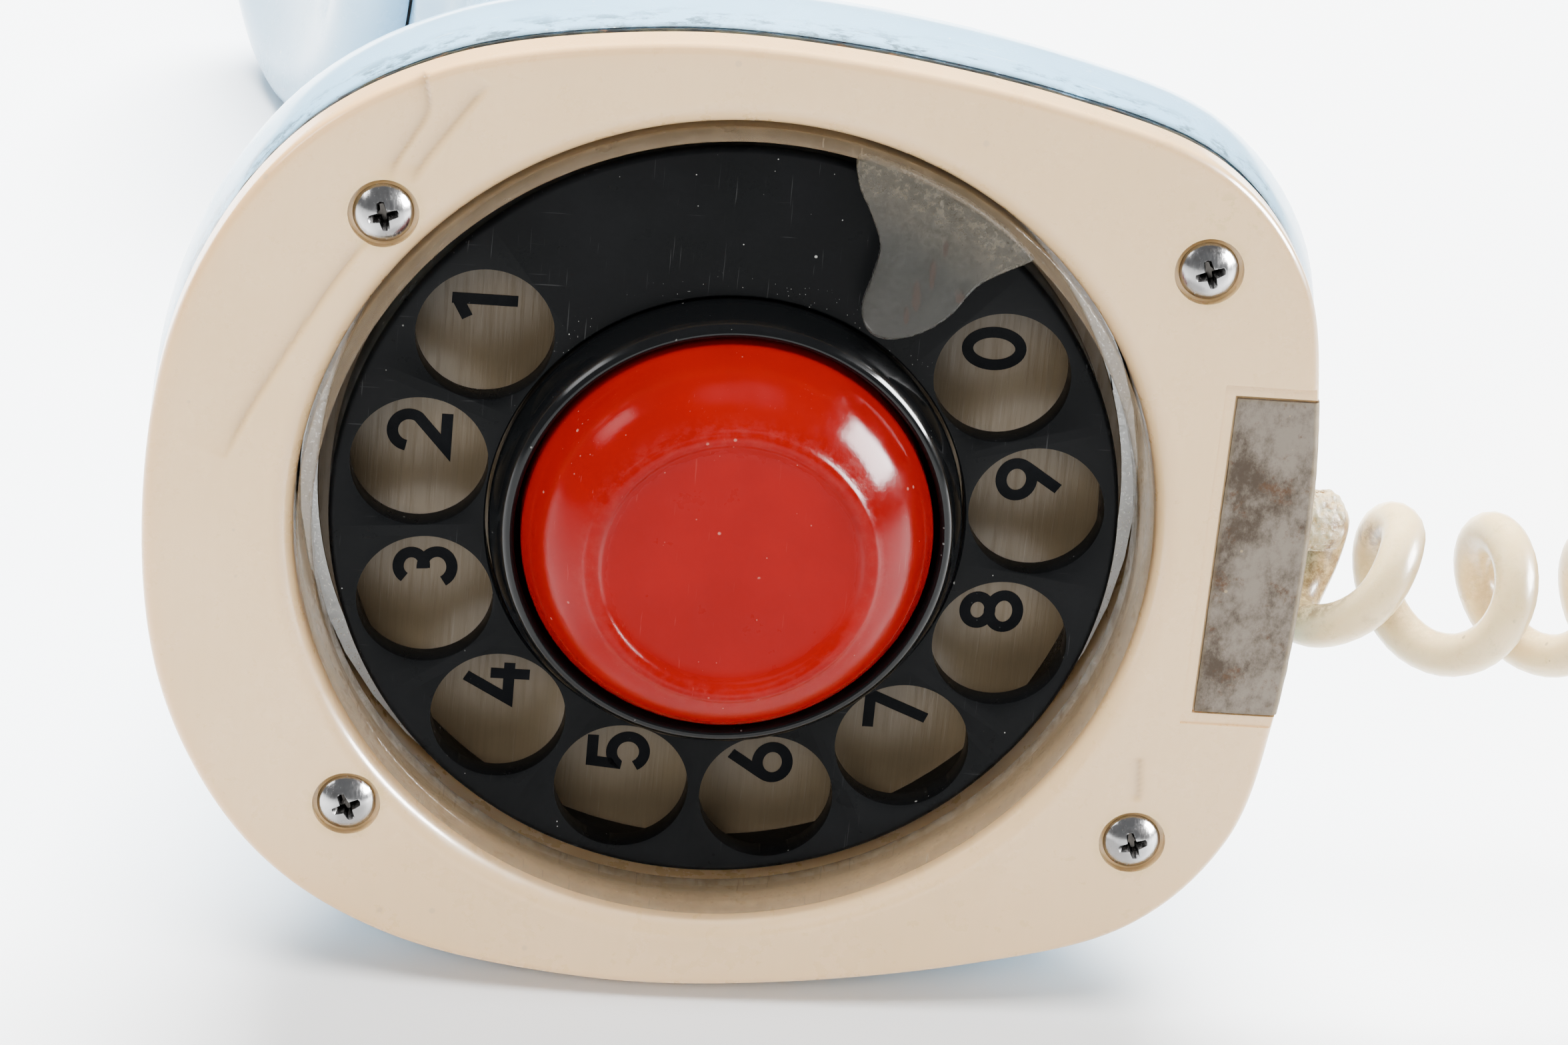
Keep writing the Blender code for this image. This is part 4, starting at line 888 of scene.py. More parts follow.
def number_plate(paint):
    top = NUMBER_PLATE_Z
    low = top - 1.0
    profile = [(38.5, top), (38.6, top - 0.1), (38.6, low), (21.2, low), (21.2, top - 0.1), (21.3, top)]
    plate = lathe("number_ring", profile, paint, 180, 35)
    return settle(plate, "phone", ["number_plate"])


# Strokes of the digits, right and up, in mm about the digit's middle.
DIGITS = {
    1: ([(0.62, -3.1), (0.62, 3.1)], [(0.62, 2.62), (-1.25, 1.55)]),
    2: (ellipse(0.0, 1.0, 1.62, 1.58, 172, -32) + [(-1.66, -2.56), (1.85, -2.56)],),
    3: (ellipse(-0.05, 1.32, 1.42, 1.26, 152, -95), ellipse(-0.05, -1.15, 1.62, 1.43, 98, -152)),
    4: ([(0.45, 3.1), (-1.85, -1.1), (2.0, -1.1)], [(0.85, 0.7), (0.85, -3.1)]),
    5: ([(1.6, 2.56), (-1.2, 2.56), (-1.4, 0.15)] + ellipse(-0.05, -0.95, 1.66, 1.62, 138, -152),),
    6: ("ring", ellipse(0.0, -1.1, 1.66, 1.48, 0, 360), [(-1.42, -0.3), (0.75, 3.05)]),
    7: ([(-1.8, 2.56), (1.72, 2.56), (-0.55, -3.1)],),
    8: ("ring", ellipse(0.0, 1.36, 1.4, 1.22, 0, 360), ellipse(0.0, -1.2, 1.68, 1.4, 0, 360)),
    9: ("ring", ellipse(0.0, 1.1, 1.66, 1.48, 0, 360), [(1.42, 0.3), (-0.75, -3.05)]),
    0: ("ring", ellipse(0.0, 0.0, 1.66, 2.56, 0, 360)),
}
STROKE = 1.08
INK_T = 0.05


def stroke_points(line, closed):
    """Left and right edges of a stroke with mitred corners."""
    p = np.array(line[:-1] if closed else line, float)
    n = len(p)
    edges = []
    for i in range(n):
        before = p[i] - p[i - 1] if closed or i else p[1] - p[0]
        after = p[(i + 1) % n] - p[i] if closed or i < n - 1 else p[-1] - p[-2]
        before, after = before / np.hypot(*before), after / np.hypot(*after)
        normal = np.array([-(before + after)[1], (before + after)[0]])
        normal /= np.hypot(*normal)
        side = normal @ np.array([-before[1], before[0]])
        reach_out = normal * STROKE / 2 / max(side, 0.35)
        edges.append((p[i] + reach_out, p[i] - reach_out))
    return edges


def stroke(name, line, closed, paint):
    edges = stroke_points(line, closed)
    points = []
    for left, right in edges:
        points += [(*left, INK_T), (*right, INK_T), (*right, -0.02), (*left, -0.02)]
    n = len(edges)
    faces = []
    for i in range(n if closed else n - 1):
        a, b = 4 * i, 4 * ((i + 1) % n)
        faces += [(a + k, a + (k + 1) % 4, b + (k + 1) % 4, b + k) for k in range(4)]
    if not closed:
        faces += [(0, 3, 2, 1), (4 * n - 4, 4 * n - 3, 4 * n - 2, 4 * n - 1)]
    return new_piece(name, points, faces, paint, 30)


def digit(value, x, y, paint):
    lines = DIGITS[value]
    rings = lines[0] == "ring"
    lines = lines[1:] if rings else lines
    parts = []
    for k, line in enumerate(lines):
        closed = rings and np.allclose(line[0], line[-1])
        parts.append(stroke("stroke" if k else f"digit_{value}", line, closed, paint))
    made = parts[0]
    if len(parts) > 1:
        carve(made, parts[1:], "UNION", 30)
    across = Matrix(((0, -1, 0, 0), (1, 0, 0, 0), (0, 0, 1, 0), (0, 0, 0, 1)))
    made.data.transform(moved((x, y, NUMBER_PLATE_Z)) @ across)
    return settle(made, "phone", [])


def stop_outline():
    knots = ((48.5, 39.2), (51.5, 34.0), (51.3, 30.0), (53.0, 26.8), (57.5, 24.4), (62.5, 24.1),
             (66.2, 25.8), (67.4, 28.8), (68.8, 31.8), (72.6, 34.4), (75.8, 36.6), (77.0, 39.2),
             (72.0, 39.5), (66.5, 39.5), (60.5, 39.5), (54.5, 39.5))
    return flat_curve([polar(r, a) for a, r in knots], 0.45)


def dial_bezel(ring_paint, tab_paint):
    z = BASE_Z - 0.6
    r_in, r_out = 38.9, WELL_R - 0.3
    profile = arc(r_out - 0.3, z - 0.3, 0.3, 0, 90, 3)[::-1] + [(r_out, -1.6), (r_in + 0.2, -1.6)]
    profile = [(r_in, -1.4), (r_in, z - 0.45)] + arc(r_in + 0.45, z - 0.45, 0.45, 180, 90, 4)[1:] + profile
    ring = lathe("clear_bezel", profile, ring_paint, 240, 50)
    settle(ring, "phone", ["dial_bezel"])
    tab = prism("finger_stop", stop_outline(), z - 1.35, z - 0.05, tab_paint)
    rounded(tab, 0.42, 4, 60)
    applied(tab, 40)
    return settle(tab, "phone", [])


def hook_button(paint):
    flank = []
    for t in np.linspace(0, 1, 20):
        bulge = 0.62 * math.sin(math.pi * t)
        flank.append((19.2 + (13.9 - 19.2) * t + bulge, 4.3 + (10.75 - 4.3) * t + bulge * 0.9))
    crest = flat_curve(((13.9, 10.75), (13.5, 11.08), (12.95, 11.2), (12.4, 11.04), (11.95, 10.72),
                        (11.35, 10.5)), 0.12)
    outer = [(0.0, 10.42), (4.0, 10.425), (8.0, 10.44), (10.6, 10.46)] + crest[::-1] + flank[::-1][1:]
    outer += [(19.33, 4.0), (19.4, 3.5), (19.4, -7.3), (19.2, -7.5)]
    inner = [(17.6, -7.5), (17.6, 3.0), (12.6, 8.2), (5.6, 8.2), (3.6, 6.5)]
    inner += arc(0.0, -21.8, 3.6, 0, -80, 8) + [(0.0, -25.4)]
    button = lathe("red_hook_button", outer + inner, paint, 200, 40)
    return settle(button, "button", ["hook_button"])


# ---------------------------------------------------------------- case and ear

# Height up the phone, front x, back x, half width and share of the base's own outline.
LEVELS = (
    (CASE_START, -54.3, 54.7, 47.6, 1.0), (9.0, -54.8, 55.7, 48.4, 1.0), (14.0, -54.9, 56.2, 48.6, 1.0),
    (19.0, -54.2, 55.4, 47.6, 0.95), (25.0, -52.4, 53.2, 45.2, 0.85), (33.0, -49.2, 49.4, 41.8, 0.65),
    (43.0, -45.0, 44.6, 38.0, 0.4), (56.0, -39.8, 38.8, 34.0, 0.15), (72.0, -35.0, 33.0, 30.4, 0.0),
    (90.0, -31.2, 27.8, 27.6, 0.0), (110.0, -28.0, 23.2, 25.7, 0.0), (132.0, -25.6, 18.6, 24.7, 0.0),
)
# Sections of the head turn about one line: angle, near reach, far reach, half width.
HEAD_PIVOT = (-30.4, 156.0)
HEAD = (
    (0.0, 6.0, 45.0, 24.6), (15.0, 6.6, 46.8, 24.9), (30.0, 7.6, 50.0, 25.6), (45.0, 9.2, 56.0, 26.8),
    (60.0, 11.2, 64.0, 28.2), (75.0, 14.0, 72.2, 29.3), (90.0, 16.4, 78.0, 29.9),
)
EAR_TILT = 19.5
EAR_CENTRE = (-47.0, 202.0)
EAR_R = 30.0
CAP_DEPTH = 6.5
CAP_GAP = 1.1
MIC_TILT = 21.0
MIC_CENTRE = (-41.3, 34.0)


def local_z(height):
    return BASE_Z - height


def body_ring(cx, height, tilt, half_depth, half_width, share, count, inset=0.0):
    a = np.arange(count) * 2 * math.pi / count
    own = reach(a)
    along = (share * own * np.cos(a) / 54.8 + (1 - share) * np.cos(a)) * (half_depth - inset)
    across = (share * own * np.sin(a) / 47.9 + (1 - share) * np.sin(a)) * (half_width - inset)
    turn = math.radians(tilt)
    return np.stack([cx + along * math.cos(turn), across, local_z(height + along * math.sin(turn))], 1)


def case_shell(paint):
    count, steps = 180, 9
    rings = [body_ring((f + b) / 2, h, 0.0, (b - f) / 2, w, s, count) for h, f, b, w, s in LEVELS]
    for angle, near, far, half_width in HEAD:
        turn, middle = math.radians(angle), (near + far) / 2
        x, height = HEAD_PIVOT[0] + middle * math.cos(turn), HEAD_PIVOT[1] + middle * math.sin(turn)
        rings.append(body_ring(x, height, angle, (far - near) / 2, half_width, 0.0, count))
    depth, tilt = CAP_DEPTH + CAP_GAP, math.radians(EAR_TILT)
    ear = (EAR_CENTRE[0] + depth * math.cos(tilt), EAR_CENTRE[1] + depth * math.sin(tilt), 90 + EAR_TILT)
    rings.append(body_ring(*ear, EAR_R, EAR_R, 0.0, count))
    ends = with_ends(rings)
    dense = [spline(a, b, c, d, t) for a, b, c, d in zip(ends, ends[1:], ends[2:], ends[3:])
             for t in np.arange(steps) / steps]
    dense.append(rings[-1])
    middle, half_depth = (LEVELS[0][1] + LEVELS[0][2]) / 2, (LEVELS[0][2] - LEVELS[0][1]) / 2
    dense[0] = body_ring(middle, CASE_START + 0.75, 0.0, half_depth, LEVELS[0][3], 1.0, count)
    foot = [body_ring(middle, CASE_START + rise, 0.0, half_depth, LEVELS[0][3], 1.0, count, inset)
            for rise, inset in ((0.0, 1.0), (0.06, 0.62), (0.22, 0.28), (0.45, 0.08))]
    lip = [body_ring(ear[0] - out * math.cos(tilt), ear[1] - out * math.sin(tilt), ear[2], EAR_R - inset,
                     EAR_R - inset, 0.0, count) for out, inset in ((0.25, 0.12), (0.42, 0.4), (0.5, 0.9))]
    dense = foot + dense + lip
    faces = [f[::-1] for f in grid_faces(len(dense), count)]
    shell = new_piece("case_moulding", np.concatenate(dense), faces, paint, 180)
    wall = shell.modifiers.new("wall", "SOLIDIFY")
    wall.thickness = 2.2 * MM
    wall.offset = -1.0
    applied(shell, 40)
    hole = prism("cord_hole", circle(0, 0, 3.35, 48), 44.0, 64.0)
    hole.data.transform(moved((0, 0, CORD_Z), math.pi / 2, "Y"))
    tilt = math.radians(MIC_TILT)
    front = axis_matrix((MIC_CENTRE[0], 0, local_z(MIC_CENTRE[1])), (-math.cos(tilt), 0, -math.sin(tilt)))
    carve(shell, [hole], sharp=40)
    for i in range(5):
        outline = arc(0, 5.2, 0.8, 0, 180, 10) + arc(0, -5.2, 0.8, 180, 360, 10)
        slot_cut = prism("slot", [(x + (i - 2) * 3.6, y) for x, y in outline], -8, 24)
        slot_cut.data.transform(front)
        carve(shell, [slot_cut], sharp=40)
    return settle(shell, "phone", ["case_shell"])


def ear_cap(paint):
    tilt = math.radians(EAR_TILT)
    place = axis_matrix((EAR_CENTRE[0], 0, local_z(EAR_CENTRE[1])), (-math.cos(tilt), 0, math.sin(tilt)))
    knots = ((0.0, -1.6), (5.0, -1.5), (10.0, -1.2), (15.0, -0.5), (19.0, 0.4), (22.5, 1.2), (25.0, 1.35),
             (27.2, 0.85), (28.7, -0.3), (29.6, -2.0), (30.0, -4.0), (30.0, -CAP_DEPTH + 0.6))
    outer = [(max(x, 0.0), y) for x, y in flat_curve(knots, 0.9)]
    outer[0] = (0.0, -1.6)
    outer += [(29.85, -CAP_DEPTH + 0.15), (29.4, -CAP_DEPTH)]
    inner = [(27.8, -CAP_DEPTH), (27.8, -3.0), (25.0, -1.6), (19.0, -2.4), (10.0, -3.8), (0.0, -4.1)]
    cap = lathe("ear_cap_moulding", outer + inner, paint, 180, 40)
    for x, y in [(0.0, 0.0)] + [polar(6, 60 * i) for i in range(6)]:
        carve(cap, [prism("hole", circle(x, y, 1.1, 32), -8, 4)], sharp=40)
    cap.data.transform(place)
    return settle(cap, "phone", ["ear_cap"])


# ---------------------------------------------------------------- cord


def strain_relief(paint):
    """The cord's crusted end: a rough sleeve with a shoulder inside the case, and loose flakes."""
    columns = 96
    knots = ((49.5, 2.75), (50.0, 4.9), (51.9, 4.9), (52.3, 2.8), (53.5, 2.85), (55.0, 2.9), (57.0, 2.95),
             (58.6, 2.95), (59.8, 2.75), (60.5, 2.3), (60.8, 1.7))
    path = flat_curve(knots, 0.16)
    a = np.arange(columns) * 2 * math.pi / columns
    points = []
    for x, r in path:
        y, z = r * np.cos(a), r * np.sin(a)
        rough = ripple(x + 0 * y, y, z, 1.2) * 0.42 + ripple(x + 0 * y, y, z, 0.5, 3.0) * 0.22
        rough = rough * (x > 52.5)
        points.append(np.stack([x + 0 * y, (r + rough) * np.cos(a), CORD_Z + (r + rough) * np.sin(a)], 1))
    points = np.concatenate(points)
    faces = grid_faces(len(path), columns) + caps(len(path), columns)
    made = new_piece("crusted_cord_end", points, faces, paint, 180)
    settle(made, "phone", ["strain_relief"])
    draw = np.random.default_rng(4)
    chips, chip_faces = [], []
    corners = 5
    along = Vector((1, 0, 0))
    for _ in range(120):
        angle, x = draw.uniform(0, 2 * math.pi), draw.uniform(53.0, 59.6)
        out = Vector((0, math.cos(angle), math.sin(angle)))
        side = out.cross(along)
        centre = Vector((x, 0, CORD_Z)) + out * (2.8 + draw.uniform(-0.05, 0.1))
        size = draw.uniform(0.14, 0.42)
        start = len(chips)
        for level in (-0.35, 0.35):
            for k in range(corners):
                t = 2 * math.pi * k / corners + draw.uniform(-0.4, 0.4)
                flat = along * math.cos(t) + side * math.sin(t)
                spread = size * draw.uniform(0.6, 1.1)
                chips.append(centre + flat * spread + out * size * (level + draw.uniform(-0.1, 0.1)))
        chip_faces += caps(2, corners, start) + grid_faces(2, corners, start=start)
    flakes = new_piece("cord_end_flakes", chips, chip_faces, paint, 30)
    return settle(flakes, "phone", [])


# The route of the coil's middle and of the tail, in the room's axes from where the coil starts.
COIL_ROUTE = (
    (0.0, 0.0, 0.0), (8.0, 0.1, -0.5), (17.0, 0.3, -1.9), (30.0, 0.8, -3.1), (42.0, 1.8, -5.0),
    (54.0, 3.2, -9.2), (66.0, 6.0, -15.8), (78.5, 11.9, -24.8), (89.5, 22.6, -31.9), (97.0, 37.5, -34.35),
    (101.5, 58.1, -34.35), (102.5, 80.1, -34.35), (102.5, 102.1, -34.35), (99.0, 115.6, -34.35),
    (88.5, 123.6, -34.35), (76.0, 122.7, -34.35), (67.0, 113.6, -34.35), (64.5, 100.1, -34.35),
    (64.5, 86.1, -34.35),
)
TAIL_ROUTE = (
    (64.5, 85.8, -40.1), (64.6, 79.0, -40.1), (64.8, 72.0, -36.8), (65.0, 66.5, -33.0), (65.0, 62.1, -32.8),
)
PLUG_SIZE = (21.0, 34.0, 19.4)
PLUG_BACK = (65.0, 61.8, -32.8)
COIL_TURN_R = 5.85
PITCH_OUT = 10.3
PITCH_REST = 5.0
FIRST_TOP = 66.4
COIL_START = ROOT @ (Vector((STUB_END + 0.3, COIL_DROP, CORD_Z)) * MM)


def turned_frames(line, first_up):
    """A sideways direction at each point of a line, carried along it without twist."""
    up = first_up.copy()
    ups = []
    for i in range(len(line)):
        ahead = (line[min(i + 1, len(line) - 1)] - line[max(i - 1, 0)]).normalized()
        up = (up - ahead * up.dot(ahead)).normalized()
        ups.append((ahead, up.copy()))
    return ups


def through(value, xs, ys):
    """A smooth curve through a few points, in one dimension."""
    k = int(np.clip(np.searchsorted(xs, value) - 1, 0, len(xs) - 2))
    t = float(np.clip((value - xs[k]) / (xs[k + 1] - xs[k]), 0, 1))
    return spline(ys[max(k - 1, 0)], ys[k], ys[k + 1], ys[min(k + 2, len(ys) - 1)], t)


# Where the first turns stray from an even helix: how far along, by the angle turned.
STRAY_ANGLES = np.radians((-270, -180, -90, 0, 90, 180, 270, 360))
STRAY = (3.0, 3.3, 1.7, -3.3, 0.2, 0.0, -2.9, 0.0)
TURN_LEAN = 2.9
TURN_ANGLES = np.radians((-180, 0, 180, 270, 360, 450, 630, 900))
TURN_RADII = (5.38, 5.38, 5.6, 6.45, 6.45, 6.2, 6.05, COIL_TURN_R)


def helix():
    """The wire's middle line in metres in the room, and the direction inwards at each point."""
    axis = [COIL_START + Vector(p) * MM for p in curve_through(COIL_ROUTE, 0.35)]
    frames = turned_frames(axis, (ROOT.to_3x3() @ Vector((0, 1, 0))).normalized())
    gone = np.concatenate([[0], np.cumsum([(b - a).length for a, b in zip(axis, axis[1:])])]) / MM
    rise = np.interp(gone, (0, 6, 14, 20, 27, 36, 55), (0.4, 0.3, 0.4, 1.0, 1.5, 1.3, 0.0))
    axis = [p + Vector((0, 0, r * MM)) for p, r in zip(axis, rise)]
    pitch = PITCH_OUT + (PITCH_REST - PITCH_OUT) * np.clip((gone - 66) / 40, 0, 1)
    first = math.pi + (STUB_END + 0.3 - FIRST_TOP) * 2 * math.pi / PITCH_OUT
    turn = first + np.concatenate([[0], np.cumsum(2 * math.pi / pitch[:-1] * np.diff(gone))])
    ahead, up = frames[-1]
    side = ahead.cross(up)
    low = math.atan2(-side.z, up.z)
    whole = round((turn[-1] - low) / (2 * math.pi)) * 2 * math.pi + low
    turn = np.where(turn > 12, 12 + (turn - 12) * (whole - 12) / (turn[-1] - 12), turn)
    line, inward = [], []
    start_turn = -math.pi + 0.9
    steps = int((turn[-1] - start_turn) / (2 * math.pi) * 36)
    for value in np.linspace(start_turn, turn[-1], steps):
        k = float(np.interp(value, turn, np.arange(len(turn))))
        extra = min(0.0, value - turn[0]) * PITCH_OUT / (2 * math.pi)
        i = min(int(k), len(axis) - 2)
        centre = axis[i].lerp(axis[i + 1], k - i)
        ahead, up = frames[i]
        side = ahead.cross(up)
        out = side * math.sin(value) - up * math.cos(value)
        if value < math.pi:
            push = through(value, STRAY_ANGLES, STRAY)
        else:
            push = TURN_LEAN * math.sin(value) * float(np.clip(1.35 - value / 26, 0, 1))
        turn_r = float(np.interp(value, TURN_ANGLES, TURN_RADII))
        line.append(centre + ahead * (push + extra) * MM + out * turn_r * MM)
        inward.append(-out)
    return line, inward


def curly_cord(paint):
    line, inward = helix()
    stub = [ROOT @ (Vector(p) * MM) for p in ((STUB_END, 0, CORD_Z), (STUB_END + 1.8, 0, CORD_Z - 0.1))]
    lead = [p * MM for p in curve_through([p / MM for p in stub + [line[0], line[6]]], 0.6)]
    lead = lead[:min(range(len(lead)), key=lambda k: (lead[k] - line[0]).length)]
    tail = [COIL_START + Vector(p) * MM for p in TAIL_ROUTE]
    bend = line[-1] + (line[-1] - line[-4]).normalized() * 3.2 * MM + Vector((0, -2.6, 0)) * MM
    link = [p * MM for p in curve_through([p / MM for p in [line[-7], line[-1], bend] + tail[1:]], 0.8)]
    link = link[min(range(len(link)), key=lambda k: (link[k] - line[-1]).length) + 1:]
    whole = lead + line + link
    ways = [inward[0]] * len(lead) + inward + [inward[-1]] * len(link)
    path = np.array([tuple(p) for p in whole])
    for _ in range(4):
        path[1:-1] = (path[:-2] + 2 * path[1:-1] + path[2:]) / 4
    path[:, 2] = np.maximum(path[:, 2], (CORD_R + 0.2) * MM)
    sides = 18
    ahead = np.gradient(path, axis=0)
    ahead /= np.linalg.norm(ahead, axis=1)[:, None]
    up = np.array([0.0, 0.0, 1.0])
    rows, dirt_and_shade = [], []
    gone = np.concatenate([[0], np.cumsum(np.linalg.norm(np.diff(path, axis=0), axis=1))]) / MM
    for i, (p, t) in enumerate(zip(path, ahead)):
        up = up - t * (up @ t)
        up /= np.linalg.norm(up)
        side = np.cross(t, up)
        # The 'inner' mask: dirt on the crusted length, painted shade on the side facing the coil's inside.
        share, start = (1.5, -0.12) if gone[i] < CRUSTED_LENGTH else (0.38, 0.25)
        for k in range(sides):
            angle = 2 * math.pi * k / sides
            way = up * math.cos(angle) + side * math.sin(angle)
            rows.append(p + way * CORD_R * MM)
            dirt_and_shade.append(share * max(0.0, float(way @ np.array(ways[i])) - start) / 0.75)
    inverse = ROOT.inverted()
    points = np.array([tuple(inverse @ Vector(p)) for p in rows]) / MM
    faces = grid_faces(len(path), sides) + caps(len(path), sides)
    cord = new_piece("curly_cord", points, faces, paint, 180)
    set_attribute(cord, "inner", np.clip(dirt_and_shade, 0, 1))
    settle(cord, "phone", ["cord_coil", "cord_tail"])
    return cord, path, gone[-1] * MM


def rounded_section(half_w, half_h, power, count):
    a = np.arange(count) * 2 * math.pi / count
    c, s = np.cos(a), np.sin(a)
    return np.sign(c) * np.abs(c) ** (2 / power) * half_w, np.sign(s) * np.abs(s) ** (2 / power) * half_h


def room_piece(name, points, faces, paint, sharp):
    """A piece from points in mm in the room."""
    inverse = ROOT.inverted()
    own = np.array([tuple(inverse @ (Vector(p) * MM)) for p in points]) / MM
    return new_piece(name, own, faces, paint, sharp)


def plug(body_paint, pin_paint):
    """A square four-pin plug: a grip with ribs, a waist, a cord sleeve, and round pins."""
    back = (COIL_START / MM) + Vector(PLUG_BACK)
    count = 96
    w, h = PLUG_SIZE[0] / 2, PLUG_SIZE[2] / 2
    length = PLUG_SIZE[1]
    sections = [(0.0, 3.4, 3.4, 2.0), (-0.4, 3.9, 3.9, 2.0), (-4.0, 4.3, 4.3, 2.0), (-5.0, 4.6, 4.6, 2.1),
                (-5.6, 6.6, 6.2, 3.0), (-7.5, 8.6, 8.0, 4.0), (-10.0, 9.6, 8.9, 5.0)]
    for i in range(7):
        y = -12.0 - 2.0 * i
        sections += [(y, w - 0.7, h - 0.3, 6.0), (y - 0.35, w - 0.25, h - 0.1, 6.0),
                     (y - 1.2, w - 0.25, h - 0.1, 6.0), (y - 1.5, w - 0.7, h - 0.3, 6.0)]
    sections += [(-26.5, w - 0.3, h - 0.15, 6.5), (-28.0, w, h, 7.0), (-length + 0.8, w, h, 7.0),
                 (-length + 0.2, w - 0.3, h - 0.3, 7.0), (-length, w - 0.8, h - 0.8, 7.0)]
    points = []
    for y, half_w, half_h, power in sections:
        x, z = rounded_section(half_w, half_h, power, count)
        points.append(np.stack([back.x + x, back.y + y + 0 * x, back.z + z], 1))
    faces = grid_faces(len(sections), count) + caps(len(sections), count)
    body = room_piece("plug_moulding", np.concatenate(points), faces, body_paint, 30)
    settle(body, "phone", ["plug_body"])
    front = back.y - length
    profile = [(0.7, -11.15), (1.3, -10.8), (1.7, -10.1), (1.88, -9.2), (1.9, -8.0), (1.9, -0.3)]
    ring = 40
    angle = np.arange(ring) * 2 * math.pi / ring
    all_points, all_faces = [], []
    for dx in (-4.5, 4.5):
        for dz in (-4.5, 4.5):
            start = len(all_points)
            for r, y in profile:
                all_points += [(back.x + dx + r * math.cos(t), front + y, back.z + dz + r * math.sin(t))
                               for t in angle]
            rows = len(profile)
            all_faces += grid_faces(rows, ring, start=start) + caps(rows, ring, start)
    pins = room_piece("plug_pins", all_points, all_faces, pin_paint, 40)
    settle(pins, "phone", [f"plug_pin_{i}" for i in range(1, 5)])
    return body, pins


# ---------------------------------------------------------------- camera, floor and lights


def camera():
    place = Vector((-36.843, 179.144, 414.114))
    right = Vector((0.99381915, 0.09216967, 0.06187277))
    down = Vector((0.0598066, -0.91409561, 0.40106408))
    view = Vector((0.09352357, -0.39488476, -0.91395808))
    data = bpy.data.cameras.new("camera")
    data.lens = 110.0
    data.sensor_width = 36.0
    data.sensor_fit = "HORIZONTAL"
    data.clip_start = 0.02
    obj = bpy.data.objects.new("camera", data)
    bpy.context.scene.collection.objects.link(obj)
    turn = Matrix((right, -down, -view)).transposed().to_4x4()
    obj.matrix_world = ROOT @ Matrix.Translation(place * MM) @ turn
    bpy.context.scene.camera = obj


# Lights: place and size in metres, power in watts. The soft ones light the surfaces, and the
# windows show only as reflections.
SOFT_LIGHTS = (
    ("overhead", (0.05, -0.60, 1.9), (1.2, 0.8), 66.0),
    ("behind", (0.0, 1.15, 1.5), (1.5, 0.9), 340.0),
    ("low_front", (-0.45, -1.4, 0.9), (1.0, 0.5), 20.0),
)
WINDOWS = (
    ("right_window", (0.82, -0.22, 0.42), (0.46, 0.40), 110.0),
    ("left_window", (-0.78, -0.22, 0.60), (0.26, 0.30), 3.0),
)
LIT_POINT = (0.0, -0.1, 0.05)


def softbox(name, place, size, power, diffuse):
    data = bpy.data.lights.new(name, "AREA")
    data.shape = "RECTANGLE"
    data.size, data.size_y = size
    data.energy = power
    obj = bpy.data.objects.new(name, data)
    obj.location = place
    obj.rotation_mode = "QUATERNION"
    obj.rotation_quaternion = (Vector(LIT_POINT) - Vector(place)).to_track_quat("-Z", "Y")
    obj.visible_diffuse = diffuse
    obj.visible_glossy = not diffuse
    bpy.context.scene.collection.objects.link(obj)


def studio():
    mesh = bpy.data.meshes.new("floor")
    half = 12.0
    corners = [(-half, -half, 0), (half, -half, 0), (half, half, 0), (-half, half, 0)]
    mesh.from_pydata(corners, [], [(0, 1, 2, 3)])
    floor = bpy.data.objects.new("floor", mesh)
    bpy.context.scene.collection.objects.link(floor)
    mesh.materials.append(floor_paint().mat)
    world = bpy.data.worlds.new("studio")
    world.use_nodes = True
    world.node_tree.nodes["Background"].inputs["Color"].default_value = (0.94, 0.97, 1.0, 1.0)
    world.node_tree.nodes["Background"].inputs["Strength"].default_value = 0.35
    bpy.context.scene.world = world
    for name, place, size, power in SOFT_LIGHTS:
        softbox(name, place, size, power, True)
    for name, place, size, power in WINDOWS:
        softbox(name, place, size, power, False)


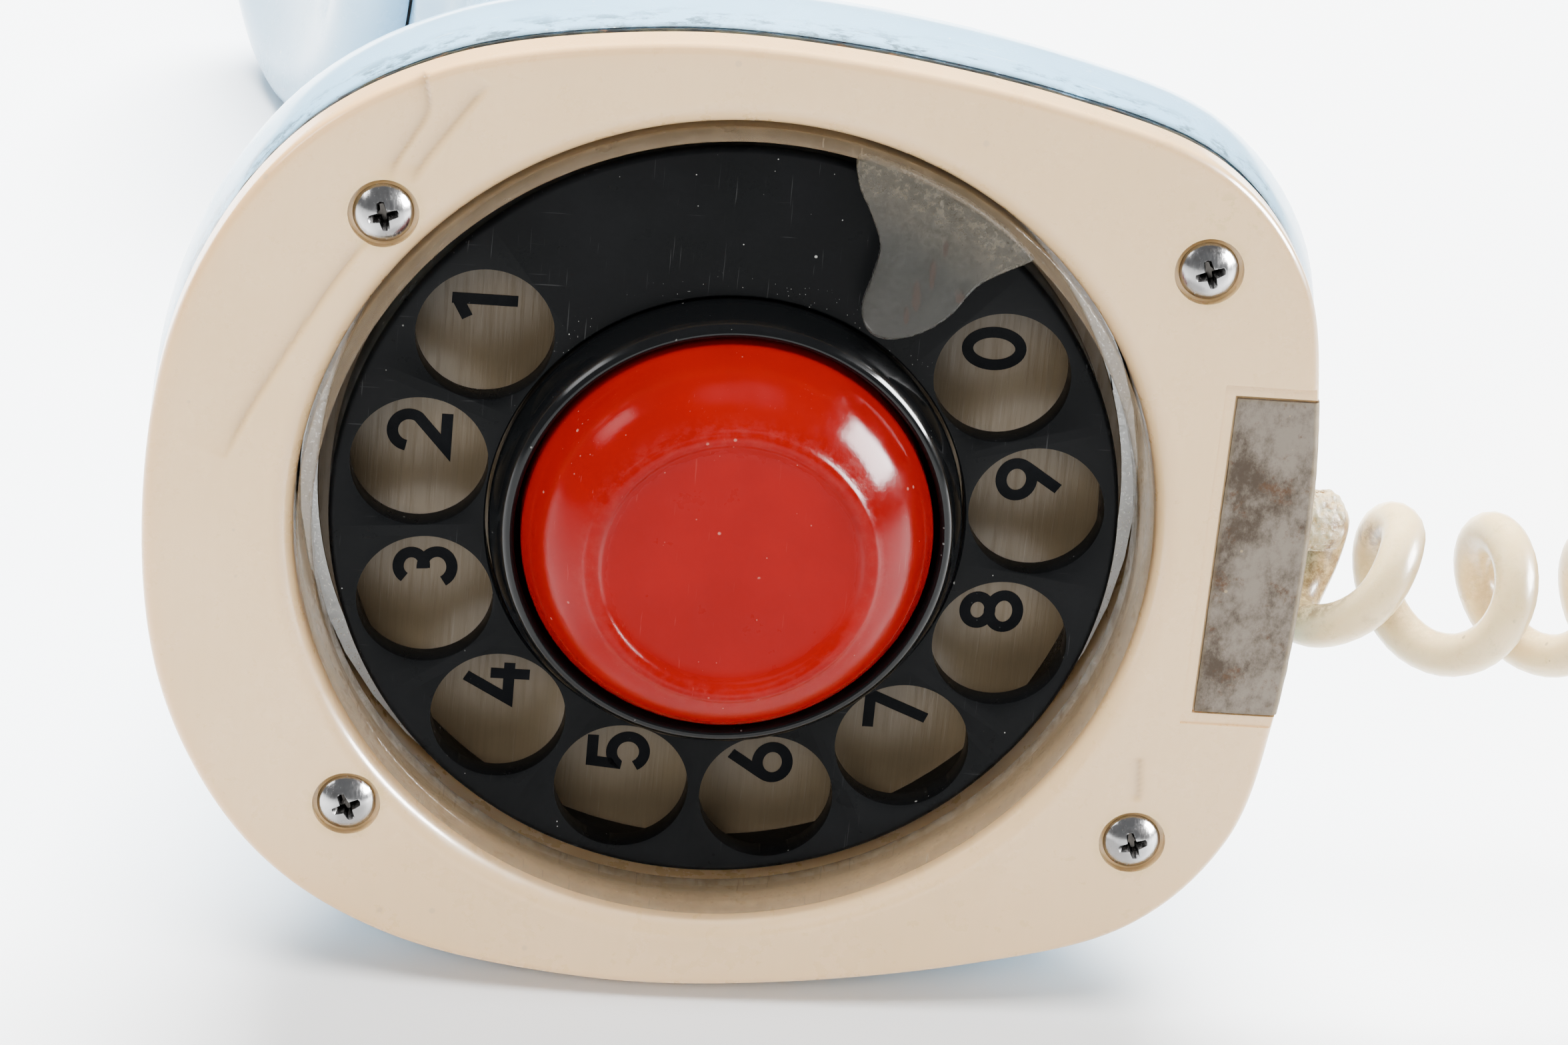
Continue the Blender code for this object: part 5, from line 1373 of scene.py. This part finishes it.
def keep_inner_parts():
    """Detailed materials for the parts inside, which keep their CAD shape."""
    paints = {
        "steel": metal("inner_steel", (0.56, 0.56, 0.55), 0.34, (1, 8, 1)),
        "brass": metal("inner_brass", (0.70, 0.53, 0.27), 0.28, (8, 1, 1), (0.35, 0.22, 0.10)),
        "copper_winding": metal("copper_wire", (0.62, 0.30, 0.14), 0.32, (12, 1, 1), (0.25, 0.12, 0.06)),
        "grey_plastic": hard_plastic("inner_grey", (0.17, 0.17, 0.175), 0.45, dust=0.3, coat=0.0),
        "board": hard_plastic("inner_board", (0.25, 0.14, 0.055), 0.5, 0.15, 0.2, 0.1),
        "black_rubber": hard_plastic("inner_rubber", (0.025, 0.025, 0.025), 0.7, 0.1, 0.3, 0.0, 0.04),
        "wire_sheath": hard_plastic("lead_sheath", (0.38, 0.05, 0.03), 0.4, 0.1, 0.1),
        "cord_sheath": hard_plastic("inner_sheath", (0.70, 0.65, 0.52), 0.4, 0.1, 0.1),
    }
    slots = {row["node"]: row["material_slot"] for row in frame["record"]["subparts"]}
    for name, node in frame["nodes"].items():
        if node.hide_render:
            continue
        node.data.materials.clear()
        node.data.materials.append(paints[slots[name]].mat)


camera()
cord, cord_path, cord_length = curly_cord(cord_paint())
plug_body, plug_pins = plug(hard_plastic("plug_cream", (0.70, 0.65, 0.53), 0.3, 0.1, 0.3),
                            metal("pin_brass", (0.72, 0.55, 0.28), 0.25, (1, 1, 6), (0.35, 0.22, 0.10)))
base_plate(cream_paint())
gasket(gasket_paint())
chrome = chrome_paint()
for number, (sx, sy) in enumerate(SCREW_PLACES, 1):
    screw(number, sx, sy, chrome)
steel_sheet(steel_plate_paint())
finger_wheel(wheel_paint())
hub_ring(hub_paint())
number_plate(number_paint())
ink = hard_plastic("digit_ink", (0.0045, 0.005, 0.006), 0.4, 0.1, 0.04, 0.0)
ink.shader.inputs["Specular IOR Level"].default_value = 0.04
for number, (hx, hy) in enumerate(hole_places(), 1):
    digit(number % 10, hx, hy, ink)
dial_bezel(clear_paint(), stop_paint())
hook_button(red_paint())
blue = blue_paint()
case_shell(blue)
ear_cap(blue)
strain_relief(crust_paint())
keep_inner_parts()
studio()

bpy.context.view_layer.update()
